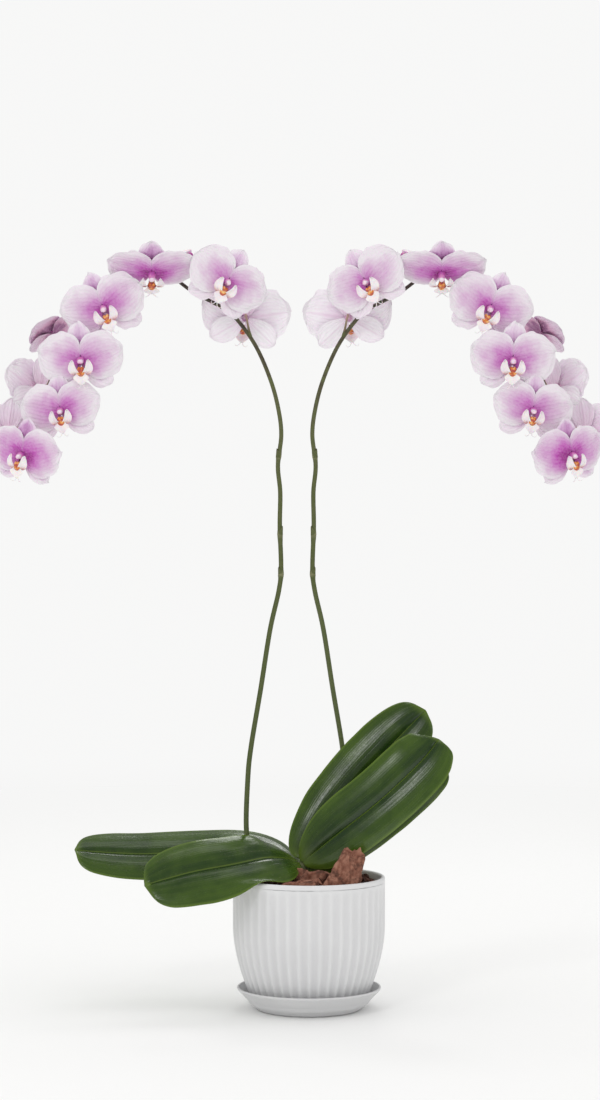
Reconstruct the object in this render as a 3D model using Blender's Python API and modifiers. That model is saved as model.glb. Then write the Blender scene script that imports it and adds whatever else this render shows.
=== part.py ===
"""Potted moth orchid: two arching flower spikes over strap leaves, in a fluted pot on a saucer.

Metres, +Z up. The origin is the centre of the saucer's flat underside, and -Y is the front.
Places on the plant are measured from the crown's axis at the level of the bark bed, so the
plant follows the pot when the pot's sizes change.
"""

import math

import bmesh
import bpy
from mathutils import Matrix, Vector, noise

# --- driving dimensions -------------------------------------------------------------------

CLEARANCE = 0.0003  # gap left between any two pieces that touch

SAUCER_FOOT_RADIUS = 0.049
SAUCER_RIM_RADIUS = 0.0684
SAUCER_HEIGHT = 0.021
SAUCER_FLOOR = 0.0035
SAUCER_WALL = 0.0026

POT_RADIUS = 0.0722
POT_BASE_RADIUS = 0.0515
POT_HEIGHT = 0.1217
POT_SHOULDER = 0.0745  # height over which the side curves in to the base
POT_WALL = 0.0036
POT_FLOOR = 0.0045
POT_CURVE = 1.85  # exponent of the side's inward curve
FLUTES = 44
FLUTE_DEPTH = 0.0016
RIM_BAND = 0.008  # plain band between the rim and the flutes
DRAIN_RADIUS = 0.006

BED_DEPTH_BELOW_RIM = 0.0075
BED_MOUND = 0.005
BED_ROUGHNESS = 0.0018

CROWN_OFFSET = -0.0085  # from the pot's axis, to the left
CROWN_RADIUS = 0.0085
CROWN_ABOVE_BED = 0.027
CROWN_BELOW_BED = 0.03

LEAF_THICKNESS = 0.0018
RIM_REST = 0.0022  # air between the rim and the blade that lies across it
LEAF_BASE_SHARE = 0.2  # half width at the crown as a share of the leaf's half width

SPIKE_PLANE = -0.0116  # the two spikes mirror each other about this plane across X
STEM_RADIUS = 0.0025
STEM_TIP_RADIUS = 0.0011
PEDICEL_RADIUS = 0.0010
STEM_STEP = 0.019

FLOWER_SPAN = 0.081  # tip to tip over the two petals
DESIGN_SPAN = 0.081  # the span that the flower shapes and places below were set out for
PETAL_THICKNESS = 0.0008

TURN_STEPS = 36

# the pot's hollow that the chunks below were set out for
DESIGN_HOLLOW_RADIUS = 0.0686

# --- levels that follow from them ---------------------------------------------------------

POT_BOTTOM = SAUCER_FLOOR + CLEARANCE
RIM_LEVEL = POT_BOTTOM + POT_HEIGHT
BED_LEVEL = RIM_LEVEL - BED_DEPTH_BELOW_RIM
CROWN_BASE = Vector((CROWN_OFFSET, 0, BED_LEVEL))

PARTS = "potted_orchid"
CUTTERS = "cutters"

# --- scene and materials ------------------------------------------------------------------


def start_scene():
    """Removes every object and makes the two collections."""
    for obj in list(bpy.data.objects):
        bpy.data.objects.remove(obj, do_unlink=True)
    for name in (PARTS, CUTTERS):
        collection = bpy.data.collections.new(name)
        bpy.context.scene.collection.children.link(collection)


def finish_material(name, colour, roughness, metallic=0.0):
    """Returns the named Principled material, made on first use."""
    material = bpy.data.materials.get(name)
    if material is None:
        material = bpy.data.materials.new(name)
        material.use_nodes = True
        shader = material.node_tree.nodes["Principled BSDF"]
        shader.inputs["Base Color"].default_value = (*colour, 1)
        shader.inputs["Roughness"].default_value = roughness
        shader.inputs["Metallic"].default_value = metallic
        material.diffuse_color = (*colour, 1)
    return material


def pot_glaze():
    return finish_material("pot_glaze", (0.62, 0.62, 0.63), 0.35)


def saucer_glaze():
    return finish_material("saucer_glaze", (0.6, 0.6, 0.61), 0.35)


def bark_bed():
    return finish_material("bark_bed", (0.07, 0.03, 0.02), 0.9)


def bark():
    return finish_material("bark", (0.27, 0.1, 0.07), 0.85)


def leaf_green():
    return finish_material("leaf_green", (0.04, 0.08, 0.02), 0.3)


def young_leaf_green():
    return finish_material("young_leaf_green", (0.2, 0.27, 0.07), 0.35)


def stem_green():
    return finish_material("stem_green", (0.1, 0.12, 0.04), 0.45)


def petal_lilac():
    return finish_material("petal_lilac", (0.72, 0.5, 0.7), 0.5)


def sepal_lilac():
    return finish_material("sepal_lilac", (0.68, 0.52, 0.66), 0.5)


# --- object helpers -----------------------------------------------------------------------


def add_object(name, mesh, material=None, collection=PARTS):
    """Links a new object for the mesh; cutters are drawn as wire and kept out of renders."""
    obj = bpy.data.objects.new(name, mesh)
    bpy.data.collections[collection].objects.link(obj)
    if material is not None:
        mesh.materials.append(material)
    if collection == CUTTERS:
        obj.hide_render = True
        obj.display_type = "WIRE"
    return obj


def mesh_from(build):
    """Returns the mesh that the given function fills a bmesh with."""
    shape = bmesh.new()
    build(shape)
    bmesh.ops.recalc_face_normals(shape, faces=shape.faces)
    mesh = bpy.data.meshes.new("shape")
    shape.to_mesh(mesh)
    shape.free()
    return mesh


def smooth(mesh, degrees=40):
    mesh.shade_smooth()
    mesh.set_sharp_from_angle(angle=math.radians(degrees))


def bake(obj):
    """Replaces the object's mesh by its evaluated one and drops its modifiers."""
    bpy.context.view_layer.update()
    evaluated = obj.evaluated_get(bpy.context.evaluated_depsgraph_get())
    mesh = bpy.data.meshes.new_from_object(evaluated)
    obj.modifiers.clear()
    obj.data = mesh
    return mesh


def boolean(obj, tool, operation):
    modifier = obj.modifiers.new(f"{operation.lower()} {tool.name}", "BOOLEAN")
    modifier.operation = operation
    modifier.solver = "EXACT"
    modifier.object = tool


def join_solids(base, others):
    """Unites closed solids into the base object and removes the others."""
    for other in others:
        boolean(base, other, "UNION")
        bake(base)
        bpy.data.objects.remove(other, do_unlink=True)
    return base


def turned(name, profile, material=None, collection=PARTS, steps=TURN_STEPS):
    """A turned solid; the profile of (radius, height) runs down its outer side."""
    mesh = bpy.data.meshes.new(name)
    points = [(radius, 0, height) for radius, height in profile]
    edges = [(i, i + 1) for i in range(len(points) - 1)]
    mesh.from_pydata(points, edges, [])
    obj = add_object(name, mesh, material, collection)
    screw = obj.modifiers.new("turn", "SCREW")
    screw.axis = "Z"
    screw.steps = steps
    screw.render_steps = steps
    screw.use_merge_vertices = True
    screw.merge_threshold = 0.0001
    screw.use_smooth_shade = True
    return obj


# --- curves and blades --------------------------------------------------------------------


def curve_point(points, t):
    """The point at share t of a smooth curve through the given points."""
    last = len(points) - 1
    place = min(max(t, 0.0), 1.0) * last
    i = min(int(place), last - 1)
    u = place - i
    p0 = points[max(i - 1, 0)]
    p1 = points[i]
    p2 = points[i + 1]
    p3 = points[min(i + 2, last)]
    a = 2 * p1
    b = (p2 - p0) * u
    c = (2 * p0 - 5 * p1 + 4 * p2 - p3) * u**2
    d = (3 * p1 - p0 - 3 * p2 + p3) * u**3
    return (a + b + c + d) / 2


def even_points(points, step):
    """Points about one step apart along the smooth curve through the given points."""
    fine = [curve_point(points, i / 400) for i in range(401)]
    lengths = [0.0]
    for i in range(400):
        lengths.append(lengths[-1] + (fine[i + 1] - fine[i]).length)
    count = max(2, round(lengths[-1] / step))
    places = []
    j = 0
    for i in range(count + 1):
        wanted = lengths[-1] * i / count
        while j < 399 and lengths[j + 1] < wanted:
            j += 1
        share = (wanted - lengths[j]) / (lengths[j + 1] - lengths[j])
        places.append(fine[j].lerp(fine[j + 1], share))
    return places


def tube(name, points, radii, material, resolution):
    """A closed round tube through the points, made a mesh so that it can be joined or cut."""
    curve = bpy.data.curves.new(name, "CURVE")
    curve.dimensions = "3D"
    curve.bevel_depth = 1.0
    curve.bevel_resolution = resolution
    curve.use_fill_caps = True
    spline = curve.splines.new("POLY")
    spline.points.add(len(points) - 1)
    for knot, point, radius in zip(spline.points, points, radii):
        knot.co = (*point, 1)
        knot.radius = radius
    guide = bpy.data.objects.new(name + "_curve", curve)
    bpy.data.collections[PARTS].objects.link(guide)
    mesh = bake_curve(guide)
    obj = add_object(name, mesh, material)
    bpy.data.objects.remove(guide, do_unlink=True)
    return obj


def bake_curve(guide):
    """The curve's evaluated mesh with its caps welded on."""
    bpy.context.view_layer.update()
    evaluated = guide.evaluated_get(bpy.context.evaluated_depsgraph_get())
    mesh = bpy.data.meshes.new_from_object(evaluated)
    shape = bmesh.new()
    shape.from_mesh(mesh)
    bmesh.ops.remove_doubles(shape, verts=shape.verts, dist=0.00001)
    bmesh.ops.recalc_face_normals(shape, faces=shape.faces)
    shape.to_mesh(mesh)
    shape.free()
    return mesh


def sheet(name, rows, thickness, material=None):
    """An open surface through the rows of points, thickened to a closed blade."""

    def fill(shape):
        grid = [[shape.verts.new(point) for point in row] for row in rows]
        for near, far in zip(grid, grid[1:]):
            for k in range(len(near) - 1):
                shape.faces.new((near[k], near[k + 1], far[k + 1], far[k]))

    mesh = mesh_from(fill)
    obj = add_object(name, mesh, material)
    solid = obj.modifiers.new("thickness", "SOLIDIFY")
    solid.thickness = thickness
    solid.offset = 0
    smooth(mesh)
    return obj


# --- saucer and pot -----------------------------------------------------------------------


def saucer():
    rim_lip = SAUCER_WALL / 2
    crease = SAUCER_HEIGHT * 0.31
    crease_radius = SAUCER_FOOT_RADIUS + 0.0068
    profile = [
        (0, SAUCER_FLOOR),
        (SAUCER_FOOT_RADIUS + 0.004, SAUCER_FLOOR),
        (crease_radius + 0.0005, SAUCER_FLOOR + 0.0025),
        (SAUCER_RIM_RADIUS - SAUCER_WALL, SAUCER_HEIGHT - rim_lip),
        (SAUCER_RIM_RADIUS - rim_lip, SAUCER_HEIGHT),
        (SAUCER_RIM_RADIUS, SAUCER_HEIGHT - rim_lip),
        (crease_radius + 0.0045, crease + 0.0045),
        (crease_radius, crease),
        (SAUCER_FOOT_RADIUS + 0.0022, 0.0014),
        (SAUCER_FOOT_RADIUS, 0),
        (0, 0),
    ]
    return turned("saucer", profile, saucer_glaze(), steps=TURN_STEPS)


def pot_side(height):
    """Outer radius of the pot at a height above its bottom."""
    if height >= POT_SHOULDER:
        return POT_RADIUS
    share = (POT_SHOULDER - height) / POT_SHOULDER
    return POT_RADIUS - (POT_RADIUS - POT_BASE_RADIUS) * share**POT_CURVE


def flute_depth(height):
    """Depth of the flutes, nothing in the rim band and deepest at the base."""
    below_band = POT_HEIGHT - RIM_BAND - height
    if below_band <= 0:
        return 0.0
    return FLUTE_DEPTH * (0.35 + 0.65 * below_band / (POT_HEIGHT - RIM_BAND))


def pot_shell_rings():
    """Rings of the pot's outside, one ridge and one valley to each flute."""
    sides = 2 * FLUTES
    edge = 0.0016
    heights = [0, edge, 0.018, 0.042, POT_SHOULDER, POT_HEIGHT - RIM_BAND, POT_HEIGHT - edge, POT_HEIGHT]
    rings = []
    for height in heights:
        inset = edge if height in (0, POT_HEIGHT) else 0.0
        ring = []
        for k in range(sides):
            valley = flute_depth(height) if k % 2 else 0.0
            radius = pot_side(height) - valley - inset
            angle = 2 * math.pi * k / sides
            ring.append(
                (radius * math.cos(angle), radius * math.sin(angle), POT_BOTTOM + height)
            )
        rings.append(ring)
    return rings


def fill_rings(shape, rings):
    """Lofts closed rings of points and caps both ends."""
    loops = [[shape.verts.new(point) for point in ring] for ring in rings]
    for low, high in zip(loops, loops[1:]):
        for k in range(len(low)):
            n = (k + 1) % len(low)
            shape.faces.new((low[k], low[n], high[n], high[k]))
    shape.faces.new(loops[0])
    shape.faces.new(loops[-1])


def pot():
    mesh = mesh_from(lambda shape: fill_rings(shape, pot_shell_rings()))
    obj = add_object("pot", mesh, pot_glaze())
    above = 0.01
    profile = [(0, RIM_LEVEL + above), (POT_RADIUS - POT_WALL, RIM_LEVEL + above)]
    profile += cavity_side(0.0)
    profile.append((0, POT_BOTTOM + POT_FLOOR))
    cavity = turned("pot_cavity", profile, collection=CUTTERS)
    bore_profile = [
        (0, POT_BOTTOM + POT_FLOOR + above),
        (DRAIN_RADIUS, POT_BOTTOM + POT_FLOOR + above),
        (DRAIN_RADIUS, POT_BOTTOM - above / 2),
        (0, POT_BOTTOM - above / 2),
    ]
    bore = turned("drain_bore", bore_profile, collection=CUTTERS, steps=16)
    boolean(obj, cavity, "DIFFERENCE")
    boolean(obj, bore, "DIFFERENCE")
    smooth(mesh, 50)
    return obj


def cavity_side(gap):
    """Profile down the pot's inner wall, moved in from the wall and floor by the gap."""
    side = []
    for height in (POT_HEIGHT - BED_DEPTH_BELOW_RIM, POT_SHOULDER, 0.045, 0.025, 0.012):
        side.append((pot_side(height) - POT_WALL - gap, POT_BOTTOM + height))
    base = pot_side(POT_FLOOR) - POT_WALL - gap
    side.append((base - 0.004, POT_BOTTOM + POT_FLOOR + gap))
    return side


# --- bark bed, bark chunks and crown ------------------------------------------------------


def crown(name="crown", grow=0.0, collection=PARTS):
    """The plant's short stem; grown by a clearance it cuts the room for itself."""
    top = BED_LEVEL + CROWN_ABOVE_BED
    bottom = BED_LEVEL - CROWN_BELOW_BED
    profile = [
        (0, top + grow),
        (CROWN_RADIUS * 0.55 + grow, top + grow),
        (CROWN_RADIUS + grow, top - 0.006),
        (CROWN_RADIUS + grow, BED_LEVEL + 0.002),
        (CROWN_RADIUS * 0.8 + grow, bottom - grow),
        (0, bottom - grow),
    ]
    obj = turned(name, profile, stem_green(), collection, steps=20)
    obj.location.x = CROWN_OFFSET
    return obj


# centre from the crown's foot, half sizes, lean about Y and turn about Z in degrees
BARK_CHUNKS = {
    "bark_chunk_1": ((0.0425, -0.043, 0.012), (0.0185, 0.009, 0.026), 14, 24),
    "bark_chunk_2": ((0.001, -0.0515, 0.001), (0.0175, 0.009, 0.009), -6, -4),
    "bark_chunk_3": ((0.012, -0.027, 0.003), (0.0165, 0.0085, 0.012), 10, 8),
    "bark_chunk_4": ((0.034, 0.03, 0.002), (0.018, 0.013, 0.009), -12, 30),
}


def bark_chunk(name, grow=0.0, collection=PARTS):
    """A broken lump of bark; the same lump grown by a clearance cuts its seat."""
    centre, half_sizes, lean, turn = BARK_CHUNKS[name]
    squeeze = (POT_RADIUS - POT_WALL) / DESIGN_HOLLOW_RADIUS
    seed = Vector((0, 0, 3.7 * len(name) + 7.1 * list(BARK_CHUNKS).index(name)))

    def fill(shape):
        bmesh.ops.create_icosphere(shape, subdivisions=2, radius=1)
        for vert in shape.verts:
            facets = noise.noise(vert.co * 1.3 + seed) * 0.3
            square = max(abs(c) for c in vert.co)
            out = vert.co * ((1 + facets) / (0.45 + 0.55 * square))
            vert.co = Vector([c * h * squeeze for c, h in zip(out, half_sizes)])
        shape.normal_update()
        moves = [vert.normal * grow for vert in shape.verts]
        for vert, move in zip(shape.verts, moves):
            vert.co += move

    if collection == PARTS:
        obj = add_object(name, mesh_from(fill), bark())
    else:
        obj = add_object(f"{name}_room", mesh_from(fill), None, collection)
    spin = Matrix.Rotation(math.radians(turn), 4, "Z") @ Matrix.Rotation(math.radians(lean), 4, "Y")
    obj.matrix_world = Matrix.Translation(CROWN_BASE + Vector(centre) * squeeze) @ spin
    return obj


def potting_mix(room_cutters):
    """The bark bed: the pot's hollow less a clearance, mounded and rough on top."""
    edge_radius = pot_side(POT_HEIGHT) - POT_WALL - CLEARANCE
    profile = [
        (0, BED_LEVEL + BED_MOUND),
        (edge_radius * 0.25, BED_LEVEL + BED_MOUND * 0.9),
        (edge_radius * 0.5, BED_LEVEL + BED_MOUND * 0.6),
        (edge_radius * 0.75, BED_LEVEL + BED_MOUND * 0.25),
    ]
    profile += cavity_side(CLEARANCE)
    profile.append((0, POT_BOTTOM + POT_FLOOR + CLEARANCE))
    obj = turned("potting_mix", profile, bark_bed(), steps=28)
    bake(obj)
    for vert in obj.data.vertices:
        radius = math.hypot(vert.co.x, vert.co.y)
        if vert.co.z >= BED_LEVEL and 0.001 < radius < edge_radius * 0.9:
            vert.co.z += BED_ROUGHNESS * noise.noise(vert.co * 90)
    for cutter in room_cutters:
        boolean(obj, cutter, "DIFFERENCE")
    return obj


# --- leaves -------------------------------------------------------------------------------


def leaf_width(a):
    """Half width along a leaf as a share of its greatest: narrow base, round tip."""
    rise = math.sin(math.pi / 2 * min(a / 0.42, 1))
    tip = max(0, (a - 0.55) / 0.46)
    return (LEAF_BASE_SHARE + (1 - LEAF_BASE_SHARE) * rise) * math.sqrt(1 - tip**2.2)


# midrib from the crown's foot, half width, blade normal at the base and at the tip, V fold
LEAVES = {
    "leaf_left_back": (
        [(-0.003, 0.005, 0.016), (-0.022, 0.017, 0.0235), (-0.05, 0.031, 0.0285),
         (-0.1, 0.035, 0.0265), (-0.154, 0.032, 0.0235), (-0.196, 0.027, 0.0265),
         (-0.2165, 0.024, 0.0295)],
        0.0335, (0.1, -0.35, 0.9), (0, -0.6, 0.8), 0.1),
    "leaf_left_front": (
        [(-0.003, -0.004, 0.021), (-0.014, -0.015, 0.0255), (-0.031, -0.029, 0.028),
         (-0.061, -0.043, 0.0235), (-0.1, -0.055, 0.0175), (-0.128, -0.061, 0.011),
         (-0.144, -0.064, 0.0065)],
        0.036, (0.25, -0.35, 0.9), (-0.05, -0.78, 0.62), 0.1),
    "leaf_right_front": (
        [(0.003, -0.004, 0.021), (0.015, -0.007, 0.032), (0.0385, -0.0115, 0.0515), (0.075, -0.015, 0.081),
         (0.108, -0.015, 0.112), (0.124, -0.011, 0.129), (0.131, -0.006, 0.138)],
        0.0345, (-0.2, -0.95, 0.25), (-0.2, -0.95, 0.2), 0.14),
    "leaf_right_back": (
        [(0.002, 0.004, 0.0225), (0.0085, 0.013, 0.032), (0.0285, 0.023, 0.061), (0.0535, 0.027, 0.093),
         (0.082, 0.029, 0.124), (0.106, 0.03, 0.149), (0.121, 0.031, 0.163)],
        0.0335, (-0.2, -0.95, 0.25), (-0.2, -0.95, 0.2), 0.12),
    "leaf_right_under": (
        [(0.003, 0.001, 0.0165), (0.013, 0.001, 0.0235), (0.043, 0.004, 0.043), (0.082, 0.006, 0.0725),
         (0.112, 0.007, 0.099), (0.1275, 0.007, 0.1125), (0.1335, 0.007, 0.118)],
        0.0265, (-0.2, -0.95, 0.25), (-0.2, -0.95, 0.2), 0.12),
    "leaf_young": (
        [(0.003, 0.003, 0.0121), (0.014, 0.008, 0.0178), (0.04, 0.0135, 0.028), (0.066, 0.015, 0.0385),
         (0.082, 0.015, 0.046)],
        0.0105, (-0.3, -0.8, 0.5), (-0.3, -0.85, 0.4), 0.15),
}


def leaf_rows(name, along=10, across=4):
    """Rows of points over a leaf's blade, from the crown to the tip."""
    midrib, half_width, base_normal, tip_normal, fold = LEAVES[name]
    route = [CROWN_BASE + Vector(point) for point in midrib]
    rows = []
    for i in range(along + 1):
        a = i / along
        centre = curve_point(route, a)
        run = (curve_point(route, a + 0.02) - curve_point(route, a - 0.02)).normalized()
        hint = Vector(base_normal).lerp(Vector(tip_normal), min(1, a * 1.6))
        side = run.cross(hint).normalized()
        normal = side.cross(run)
        width = half_width * leaf_width(a)
        row = []
        for k in range(across + 1):
            b = 2 * k / across - 1
            lift = width * (fold * abs(b) - 0.16 * b * b)
            pull = 0.35 * half_width * max(0, a - 0.8) * b * b
            row.append(rest_on_rim(centre + side * width * b + normal * lift - run * pull))
        rows.append(row)
    return rows


def rest_on_rim(point):
    """Lifts a leaf's point over the pot's rim, where the blade lies across it."""
    reach = math.hypot(point.x, point.y)
    low = RIM_LEVEL + LEAF_THICKNESS / 2 + RIM_REST
    near_rim = POT_RADIUS - 4 * POT_WALL < reach < POT_RADIUS + 2.5 * POT_WALL
    if near_rim and point.z < low:
        return Vector((point.x, point.y, low))
    return point


def leaf(name, crown_room):
    material = young_leaf_green() if name == "leaf_young" else leaf_green()
    obj = sheet(name, leaf_rows(name), LEAF_THICKNESS, material)
    boolean(obj, crown_room, "DIFFERENCE")
    return obj


# --- flowers ------------------------------------------------------------------------------

# A flower is modelled about its centre, facing -Y with its top sepal up.
PETAL_LENGTH = 0.0405
PETAL_HALF_WIDTH = 0.0235
PETAL_ANGLE = 16
SEPAL_LENGTH = 0.036
SEPAL_HALF_WIDTH = 0.0115
SEPAL_ANGLES = (90, -40, -140)
BACKWARD_CURVE = 3.4  # depth lost to the backward curve, over the square of the reach
WHORL_GAP = 0.0022  # from the sepals' surface to the petals'
COLUMN_RADIUS = 0.0032
COLUMN_LENGTH = 0.0085
RECEPTACLE_RADIUS = 0.0034
RECEPTACLE_DEPTH = 0.006


def petal_width(a):
    return 1.6 * a**0.8 * (1 - 0.97 * a**3.6) ** 0.6


def sepal_width(a):
    return 1.55 * a**0.7 * (1 - 0.97 * a**2.8) ** 0.6


def blade_rows(length, half_width, angle, width, start, depth, along, across):
    """Rows of points over a petal or sepal that leaves the centre at an angle."""
    run = Vector((math.cos(math.radians(angle)), 0, math.sin(math.radians(angle))))
    side = Vector((-run.z, 0, run.x))
    rows = []
    for i in range(along + 1):
        a = start + (1 - start) * math.sin(math.pi / 2 * i / along) ** 0.8
        row = []
        for k in range(across + 1):
            b = 2 * k / across - 1
            reach = length * (a - 0.16 * a**3 * (width(a) * b) ** 2)
            point = run * reach + side * half_width * width(a) * b
            point.y = depth + BACKWARD_CURVE * point.length_squared
            row.append(point)
        rows.append(row)
    return rows


def squashed_ball(name, centre, half_sizes, segments=6, rings=4):
    def fill(shape):
        bmesh.ops.create_uvsphere(shape, u_segments=segments, v_segments=rings, radius=1)

    obj = add_object(name, mesh_from(fill))
    obj.matrix_world = Matrix.Translation(centre) @ Matrix.Diagonal((*half_sizes, 1))
    return obj


def plug(name, low, high, low_radius, high_radius, sides=6):
    """A short cone along Y between two depths."""

    def fill(shape):
        bmesh.ops.create_cone(
            shape, cap_ends=True, segments=sides, radius1=high_radius, radius2=low_radius, depth=high - low
        )

    obj = add_object(name, mesh_from(fill))
    turn = Matrix.Rotation(math.radians(90), 4, "X")
    obj.matrix_world = Matrix.Translation((0, (low + high) / 2, 0)) @ turn
    return obj


def place_in_mesh(obj):
    """Moves the object's place into its mesh."""
    obj.data.transform(obj.matrix_world)
    obj.matrix_world = Matrix.Identity(4)


def inner_whorl_mesh():
    """Two petals, column and three-lobed lip as one closed body."""
    petals = []
    for angle in (PETAL_ANGLE, 180 - PETAL_ANGLE):
        rows = blade_rows(PETAL_LENGTH, PETAL_HALF_WIDTH, angle, petal_width, 0.07, -WHORL_GAP, 3, 3)
        petals.append(sheet("petal", rows, PETAL_THICKNESS))
    midlobe_rows = []
    for z, y, width in ((-0.004, -0.004, 0.0025), (-0.013, -0.0075, 0.0055), (-0.0205, -0.0065, 0.0075)):
        midlobe_rows.append([Vector((x, y, z)) for x in (-width, width)])
    midlobe = sheet("midlobe", midlobe_rows, PETAL_THICKNESS)
    lobes = squashed_ball("side_lobes", (0, -0.0075, -0.0065), (0.0105, 0.0035, 0.0065))
    base = plug("column", -COLUMN_LENGTH, -CLEARANCE, COLUMN_RADIUS, COLUMN_RADIUS)
    place_in_mesh(base)
    return join_solids(base, [*petals, lobes, midlobe])


def outer_whorl_mesh():
    """Three sepals on the receptacle as one closed body."""
    sepals = []
    for angle in SEPAL_ANGLES:
        rows = blade_rows(SEPAL_LENGTH, SEPAL_HALF_WIDTH, angle, sepal_width, 0.07, 0.0009, 2, 2)
        sepals.append(sheet("sepal", rows, PETAL_THICKNESS))
    base = plug("receptacle", 0, RECEPTACLE_DEPTH, RECEPTACLE_RADIUS, PEDICEL_RADIUS * 1.6)
    place_in_mesh(base)
    return join_solids(base, sepals)


# outward from the spikes' plane, depth, height from the bed; yaw, pitch and lean in degrees; size
FLOWERS = [
    ((0.0497, 0.025, 0.5397), 184, -4, 8, 1.06),
    ((0.0666, -0.022, 0.5684), 14, -8, -30, 0.98),
    ((0.101, 0.014, 0.594), -70, 64, 0, 0.86),
    ((0.1367, -0.0186, 0.5796), 4, -60, 0, 1.04),
    ((0.1816, -0.02, 0.5441), 2, -14, 22, 1.0),
    ((0.2335, 0.02, 0.524), -130, 42, 0, 0.8),
    ((0.2029, -0.024, 0.4948), 0, -12, 3, 1.0),
    ((0.2475, 0.022, 0.4711), -148, -8, 14, 0.92),
    ((0.2221, -0.02, 0.448), -3, -12, 7, 0.94),
    ((0.2765, 0.02, 0.4281), -160, -10, 8, 0.96),
    ((0.2574, -0.024, 0.4055), -26, -10, -10, 0.94),
]

# stem from the crown to the first flower, then the flower-bearing part: outward, depth, height
LOWER_STEMS = {
    -1: [
        (-0.001, -0.001, 0.0125), (0.02, -0.005, 0.0145), (0.041, -0.0005, 0.026),
        (0.0478, 0.001, 0.05), (0.0466, 0.002, 0.099), (0.0435, 0.004, 0.13),
        (0.0345, 0.007, 0.184), (0.0255, 0.009, 0.241),
    ],
    1: [
        (0.004, 0.003, 0.0125), (0.007, 0.022, 0.0153), (0.026, 0.0465, 0.033),
        (0.0465, 0.051, 0.06), (0.0466, 0.0475, 0.099), (0.0435, 0.042, 0.13),
        (0.0345, 0.03, 0.184), (0.0255, 0.02, 0.241),
    ],
}
UPPER_STEM = [
    (0.0172, 0.01, 0.278), (0.015, 0.01, 0.3), (0.0162, 0.01, 0.34), (0.0158, 0.01, 0.372),
    (0.018, 0.01, 0.398), (0.0148, 0.01, 0.428), (0.0185, 0.01, 0.456), (0.0264, 0.009, 0.483),
    (0.0394, 0.008, 0.512), (0.0564, 0.007, 0.536),
]
RACHIS = [
    (0.0694, 0.006, 0.547), (0.0994, 0.008, 0.5635), (0.12, 0.012, 0.578), (0.143, 0.0128, 0.5835),
    (0.1664, 0.008, 0.573), (0.1894, 0.004, 0.553), (0.2084, 0.001, 0.529), (0.2254, 0.0, 0.4985),
    (0.2404, 0.0, 0.462), (0.251, 0.0, 0.43), (0.2575, 0.002, 0.408),
]
STEM_NODES = (0.407, 0.331, 0.294)  # heights of the ringed nodes above the bed
FLOWERING_HEIGHT = 0.5  # above the bed, the stem bears flowers from here on
FLOWERING_REACH = 0.08  # and wherever it hangs further out than this


def spike_point(place, mirror):
    """World place of a point on a spike; the flowering part grows with the flowers' span."""
    out, depth, height = place
    if height > FLOWERING_HEIGHT or out > FLOWERING_REACH:
        grow = FLOWER_SPAN / DESIGN_SPAN
        out *= grow
        height = FLOWERING_HEIGHT + (height - FLOWERING_HEIGHT) * grow
        depth *= grow
    return Vector((SPIKE_PLANE + mirror * out, depth, BED_LEVEL + height))


def flower_matrix(flower, mirror):
    place, yaw, pitch, lean, size = flower
    turn = Matrix.Rotation(math.radians(-mirror * yaw), 4, "Z")
    turn = turn @ Matrix.Rotation(math.radians(-pitch), 4, "X")
    turn = turn @ Matrix.Rotation(math.radians(mirror * lean), 4, "Y")
    scale = size * FLOWER_SPAN / DESIGN_SPAN
    return Matrix.Translation(spike_point(place, mirror)) @ turn @ Matrix.Scale(scale, 4)


def nearest_share(route, point):
    """Share of the route at its nearest place to the point."""
    shares = [i / 200 for i in range(201)]
    return min(shares, key=lambda t: (curve_point(route, t) - point).length)


def flower_stalk(name, flower, mirror, route):
    """Tube from the spike to the back of a flower, leaving a little below it."""
    matrix = flower_matrix(flower, mirror)
    scale = matrix.to_scale().x
    back = matrix @ Vector((0, RECEPTACLE_DEPTH + CLEARANCE / scale, 0))
    facing = (matrix.to_3x3() @ Vector((0, -1, 0))).normalized()
    share = max(0.0, nearest_share(route, back - facing * 0.008) - 0.04)
    root = curve_point(route, share)
    bend = back - facing * min(0.012, (back - root).length * 0.5)
    points = [root, root.lerp(bend, 0.55), bend, back]
    radii = [PEDICEL_RADIUS, PEDICEL_RADIUS, PEDICEL_RADIUS * 1.1, PEDICEL_RADIUS * 1.4]
    return tube(name, points, radii, None, 0)


def stem_radius(share, height):
    """Tapers along the spike, with a swelling at each node."""
    radius = STEM_RADIUS + (STEM_TIP_RADIUS - STEM_RADIUS) * share**1.5
    for node in STEM_NODES:
        radius += 0.0005 * math.exp(-(((height - BED_LEVEL - node) / 0.006) ** 2))
    return radius


def spike(name, mirror, crown_room):
    """Stem, flower-bearing part and flower stalks as one grown piece."""
    stem = [spike_point(place, mirror) for place in LOWER_STEMS[mirror] + UPPER_STEM]
    rachis = [spike_point(place, mirror) for place in RACHIS]
    points = even_points(stem + rachis, STEM_STEP)
    last = len(points) - 1
    radii = [stem_radius(i / last, point.z) for i, point in enumerate(points)]
    obj = tube(name, points, radii, stem_green(), 1)
    stalks = []
    for number, flower in enumerate(FLOWERS, 1):
        stalks.append(flower_stalk(f"stalk_{number}", flower, mirror, stem[-5:] + rachis))
    join_solids(obj, stalks)
    boolean(obj, crown_room, "DIFFERENCE")
    return obj


def flowers(side, mirror, inner, outer):
    for number, flower in enumerate(FLOWERS, 1):
        label = f"flower_{side}_{number:02d}"
        for whorl, mesh in (("petals", inner), ("sepals", outer)):
            obj = bpy.data.objects.new(f"{label}_{whorl}", mesh)
            bpy.data.collections[PARTS].objects.link(obj)
            obj.matrix_world = flower_matrix(flower, mirror)


def whorl_mesh(obj, name, material):
    """Takes the finished mesh off its object so that every flower can share it."""
    mesh = obj.data
    mesh.name = name
    mesh.materials.clear()
    mesh.materials.append(material)
    smooth(mesh, 50)
    bpy.data.objects.remove(obj, do_unlink=True)
    return mesh


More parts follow.
